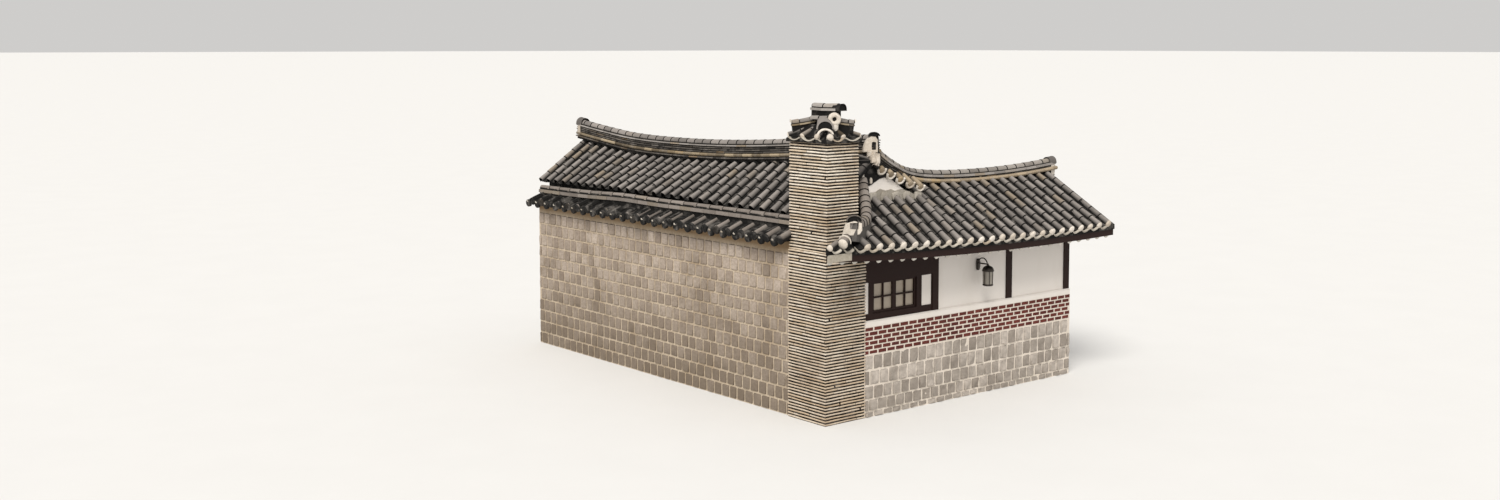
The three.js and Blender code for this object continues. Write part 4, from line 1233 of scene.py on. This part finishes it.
def lantern():
    """The lantern's pane and metal body, and the oval plate and curl that carry it."""
    glass, metal, holder = pieces(3)
    lathe(glass, LANTERN, [(0.001, -0.4), (0.092, -0.4), (0.1, -0.125), (0.001, -0.12)], shade(), 12)
    lathe(metal, LANTERN, [(0.001, -0.132), (0.122, -0.128), (0.125, -0.112), (0.112, -0.08),
                           (0.09, -0.045), (0.05, -0.022), (0.028, -0.012), (0.014, 0.0)], shade(), 24)
    lathe(metal, LANTERN, [(0.001, -0.43), (0.09, -0.428), (0.106, -0.418), (0.108, -0.4),
                           (0.1, -0.388), (0.001, -0.386)], shade(), 24)
    bars = 6
    for k in range(bars):
        turn = 2 * math.pi * k / bars
        out = Vector((math.cos(turn), math.sin(turn), 0))
        side = Vector((-out.y, out.x, 0)) * 0.006
        rings = [[LANTERN + out * (r + d) + side * s + UP * z
                  for d, s in ((-0.004, -1), (0.007, -1), (0.007, 1), (-0.004, 1))]
                 for r, z in ((0.094, -0.4), (0.102, -0.12))]
        metal.tube(rings, shade())
    rim(metal, LANTERN + UP * 0.004, EAST, UP, 0.018, 0.005, steps=12)
    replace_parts(metal.object("lantern_body", "lantern_metal", "lantern_metal"), "lantern")
    glass.object("lantern_pane", "lantern_glass", "lantern_metal")
    wall = node_box("lantern_bracket")[1].y
    lump(holder, Vector((LANTERN.x, wall - 0.022, LANTERN.z - 0.02)), (0.055, 0.02, 0.12), 1.0, rough=0.0)
    rim(holder, Vector((LANTERN.x, (wall + LANTERN.y) / 2, LANTERN.z)), EAST, UP,
        (wall - LANTERN.y) / 2 - 0.02, 0.012, 0, 180)
    holder.object("lantern_holder", "lantern_metal", "lantern_metal")


# Camera, light and floor

CAMERA_PLACE = Vector((-18.677, -20.122, 7.147))
CAMERA_TURN = math.radians(-39.36)
CAMERA_TILT = math.radians(4.387)
CAMERA_REACH = 3000.0
LENS_PIXELS = 1473.0
PHOTO_WIDTH = 1500.0
SENSOR = 36.0
SHIFT_PIXELS = 92.0
SKY_COLOR = (1.0, 0.985, 0.965, 1.0)
SKY_STRENGTH = 0.62
SUN_COLOR = (1.0, 0.97, 0.92)
SUN_STRENGTH = 3.05
SUN_SPREAD = math.radians(28.0)
SUN_TILT = math.radians(42.0)
SUN_TURN = math.radians(-52.0)
FLOOR_HALF = 1500.0


def camera():
    data = bpy.data.cameras.new("camera")
    data.sensor_width = SENSOR
    data.lens = SENSOR * LENS_PIXELS / PHOTO_WIDTH
    data.shift_y = -SHIFT_PIXELS / PHOTO_WIDTH
    data.clip_end = CAMERA_REACH
    made = bpy.data.objects.new("camera", data)
    made.location = CAMERA_PLACE + ORIGIN
    made.rotation_euler = (math.pi / 2 - CAMERA_TILT, 0.0, CAMERA_TURN)
    bpy.context.scene.collection.objects.link(made)
    bpy.context.scene.camera = made


def studio():
    scene = bpy.context.scene
    world = bpy.data.worlds.new("studio")
    scene.world = world
    world.use_nodes = True
    sky = world.node_tree.nodes["Background"]
    sky.inputs["Color"].default_value = SKY_COLOR
    sky.inputs["Strength"].default_value = SKY_STRENGTH
    sun = bpy.data.lights.new("sun", "SUN")
    sun.energy = SUN_STRENGTH
    sun.angle = SUN_SPREAD
    sun.color = SUN_COLOR
    lamp = bpy.data.objects.new("sun", sun)
    lamp.rotation_euler = (SUN_TILT, 0.0, SUN_TURN)
    scene.collection.objects.link(lamp)
    mesh = bpy.data.meshes.new("floor_plane")
    corners = [(x * FLOOR_HALF, y * FLOOR_HALF, 0) for x, y in ((-1, -1), (1, -1), (1, 1), (-1, 1))]
    mesh.from_pydata(corners, [], [(0, 1, 2, 3)])
    mesh.materials.append(MATERIALS["studio_floor"])
    plane = bpy.data.objects.new("studio_floor", mesh)
    scene.collection.objects.link(plane)
    scene.view_settings.view_transform = "Standard"


def dress_frame():
    """Gives each solid that shows the material of its slot."""
    for part in frame["record"]["subparts"]:
        finish = MATERIALS[SLOT_MATERIALS[part["material_slot"]]]
        for place in frame["nodes"][part["node"]].material_slots:
            place.material = finish


camera()
studio()
dress_frame()
tile_slope("south_slope", south_rows(), lambda row: row.low.y < EAVE_Y + 0.01)
tile_slope("back_slope", back_rows(), lambda row: row.low.y > BACK_EAVE_Y - 0.01)
tile_slope("west_slope", west_wing_rows(west_foot, WEST_TOP_X), lambda row: False)
tile_slope("east_slope", west_wing_rows(east_foot, EAST_TOP_X), lambda row: row.low.x > EAST_EAVE_X)
main_ridges()
wall_cap()
hip()
corner_edge()
peak()
ridge_ends()
gable()
rafter_ends()
chimney_courses()
chimney_cap()
stone_walls()
brick_band()
lantern()
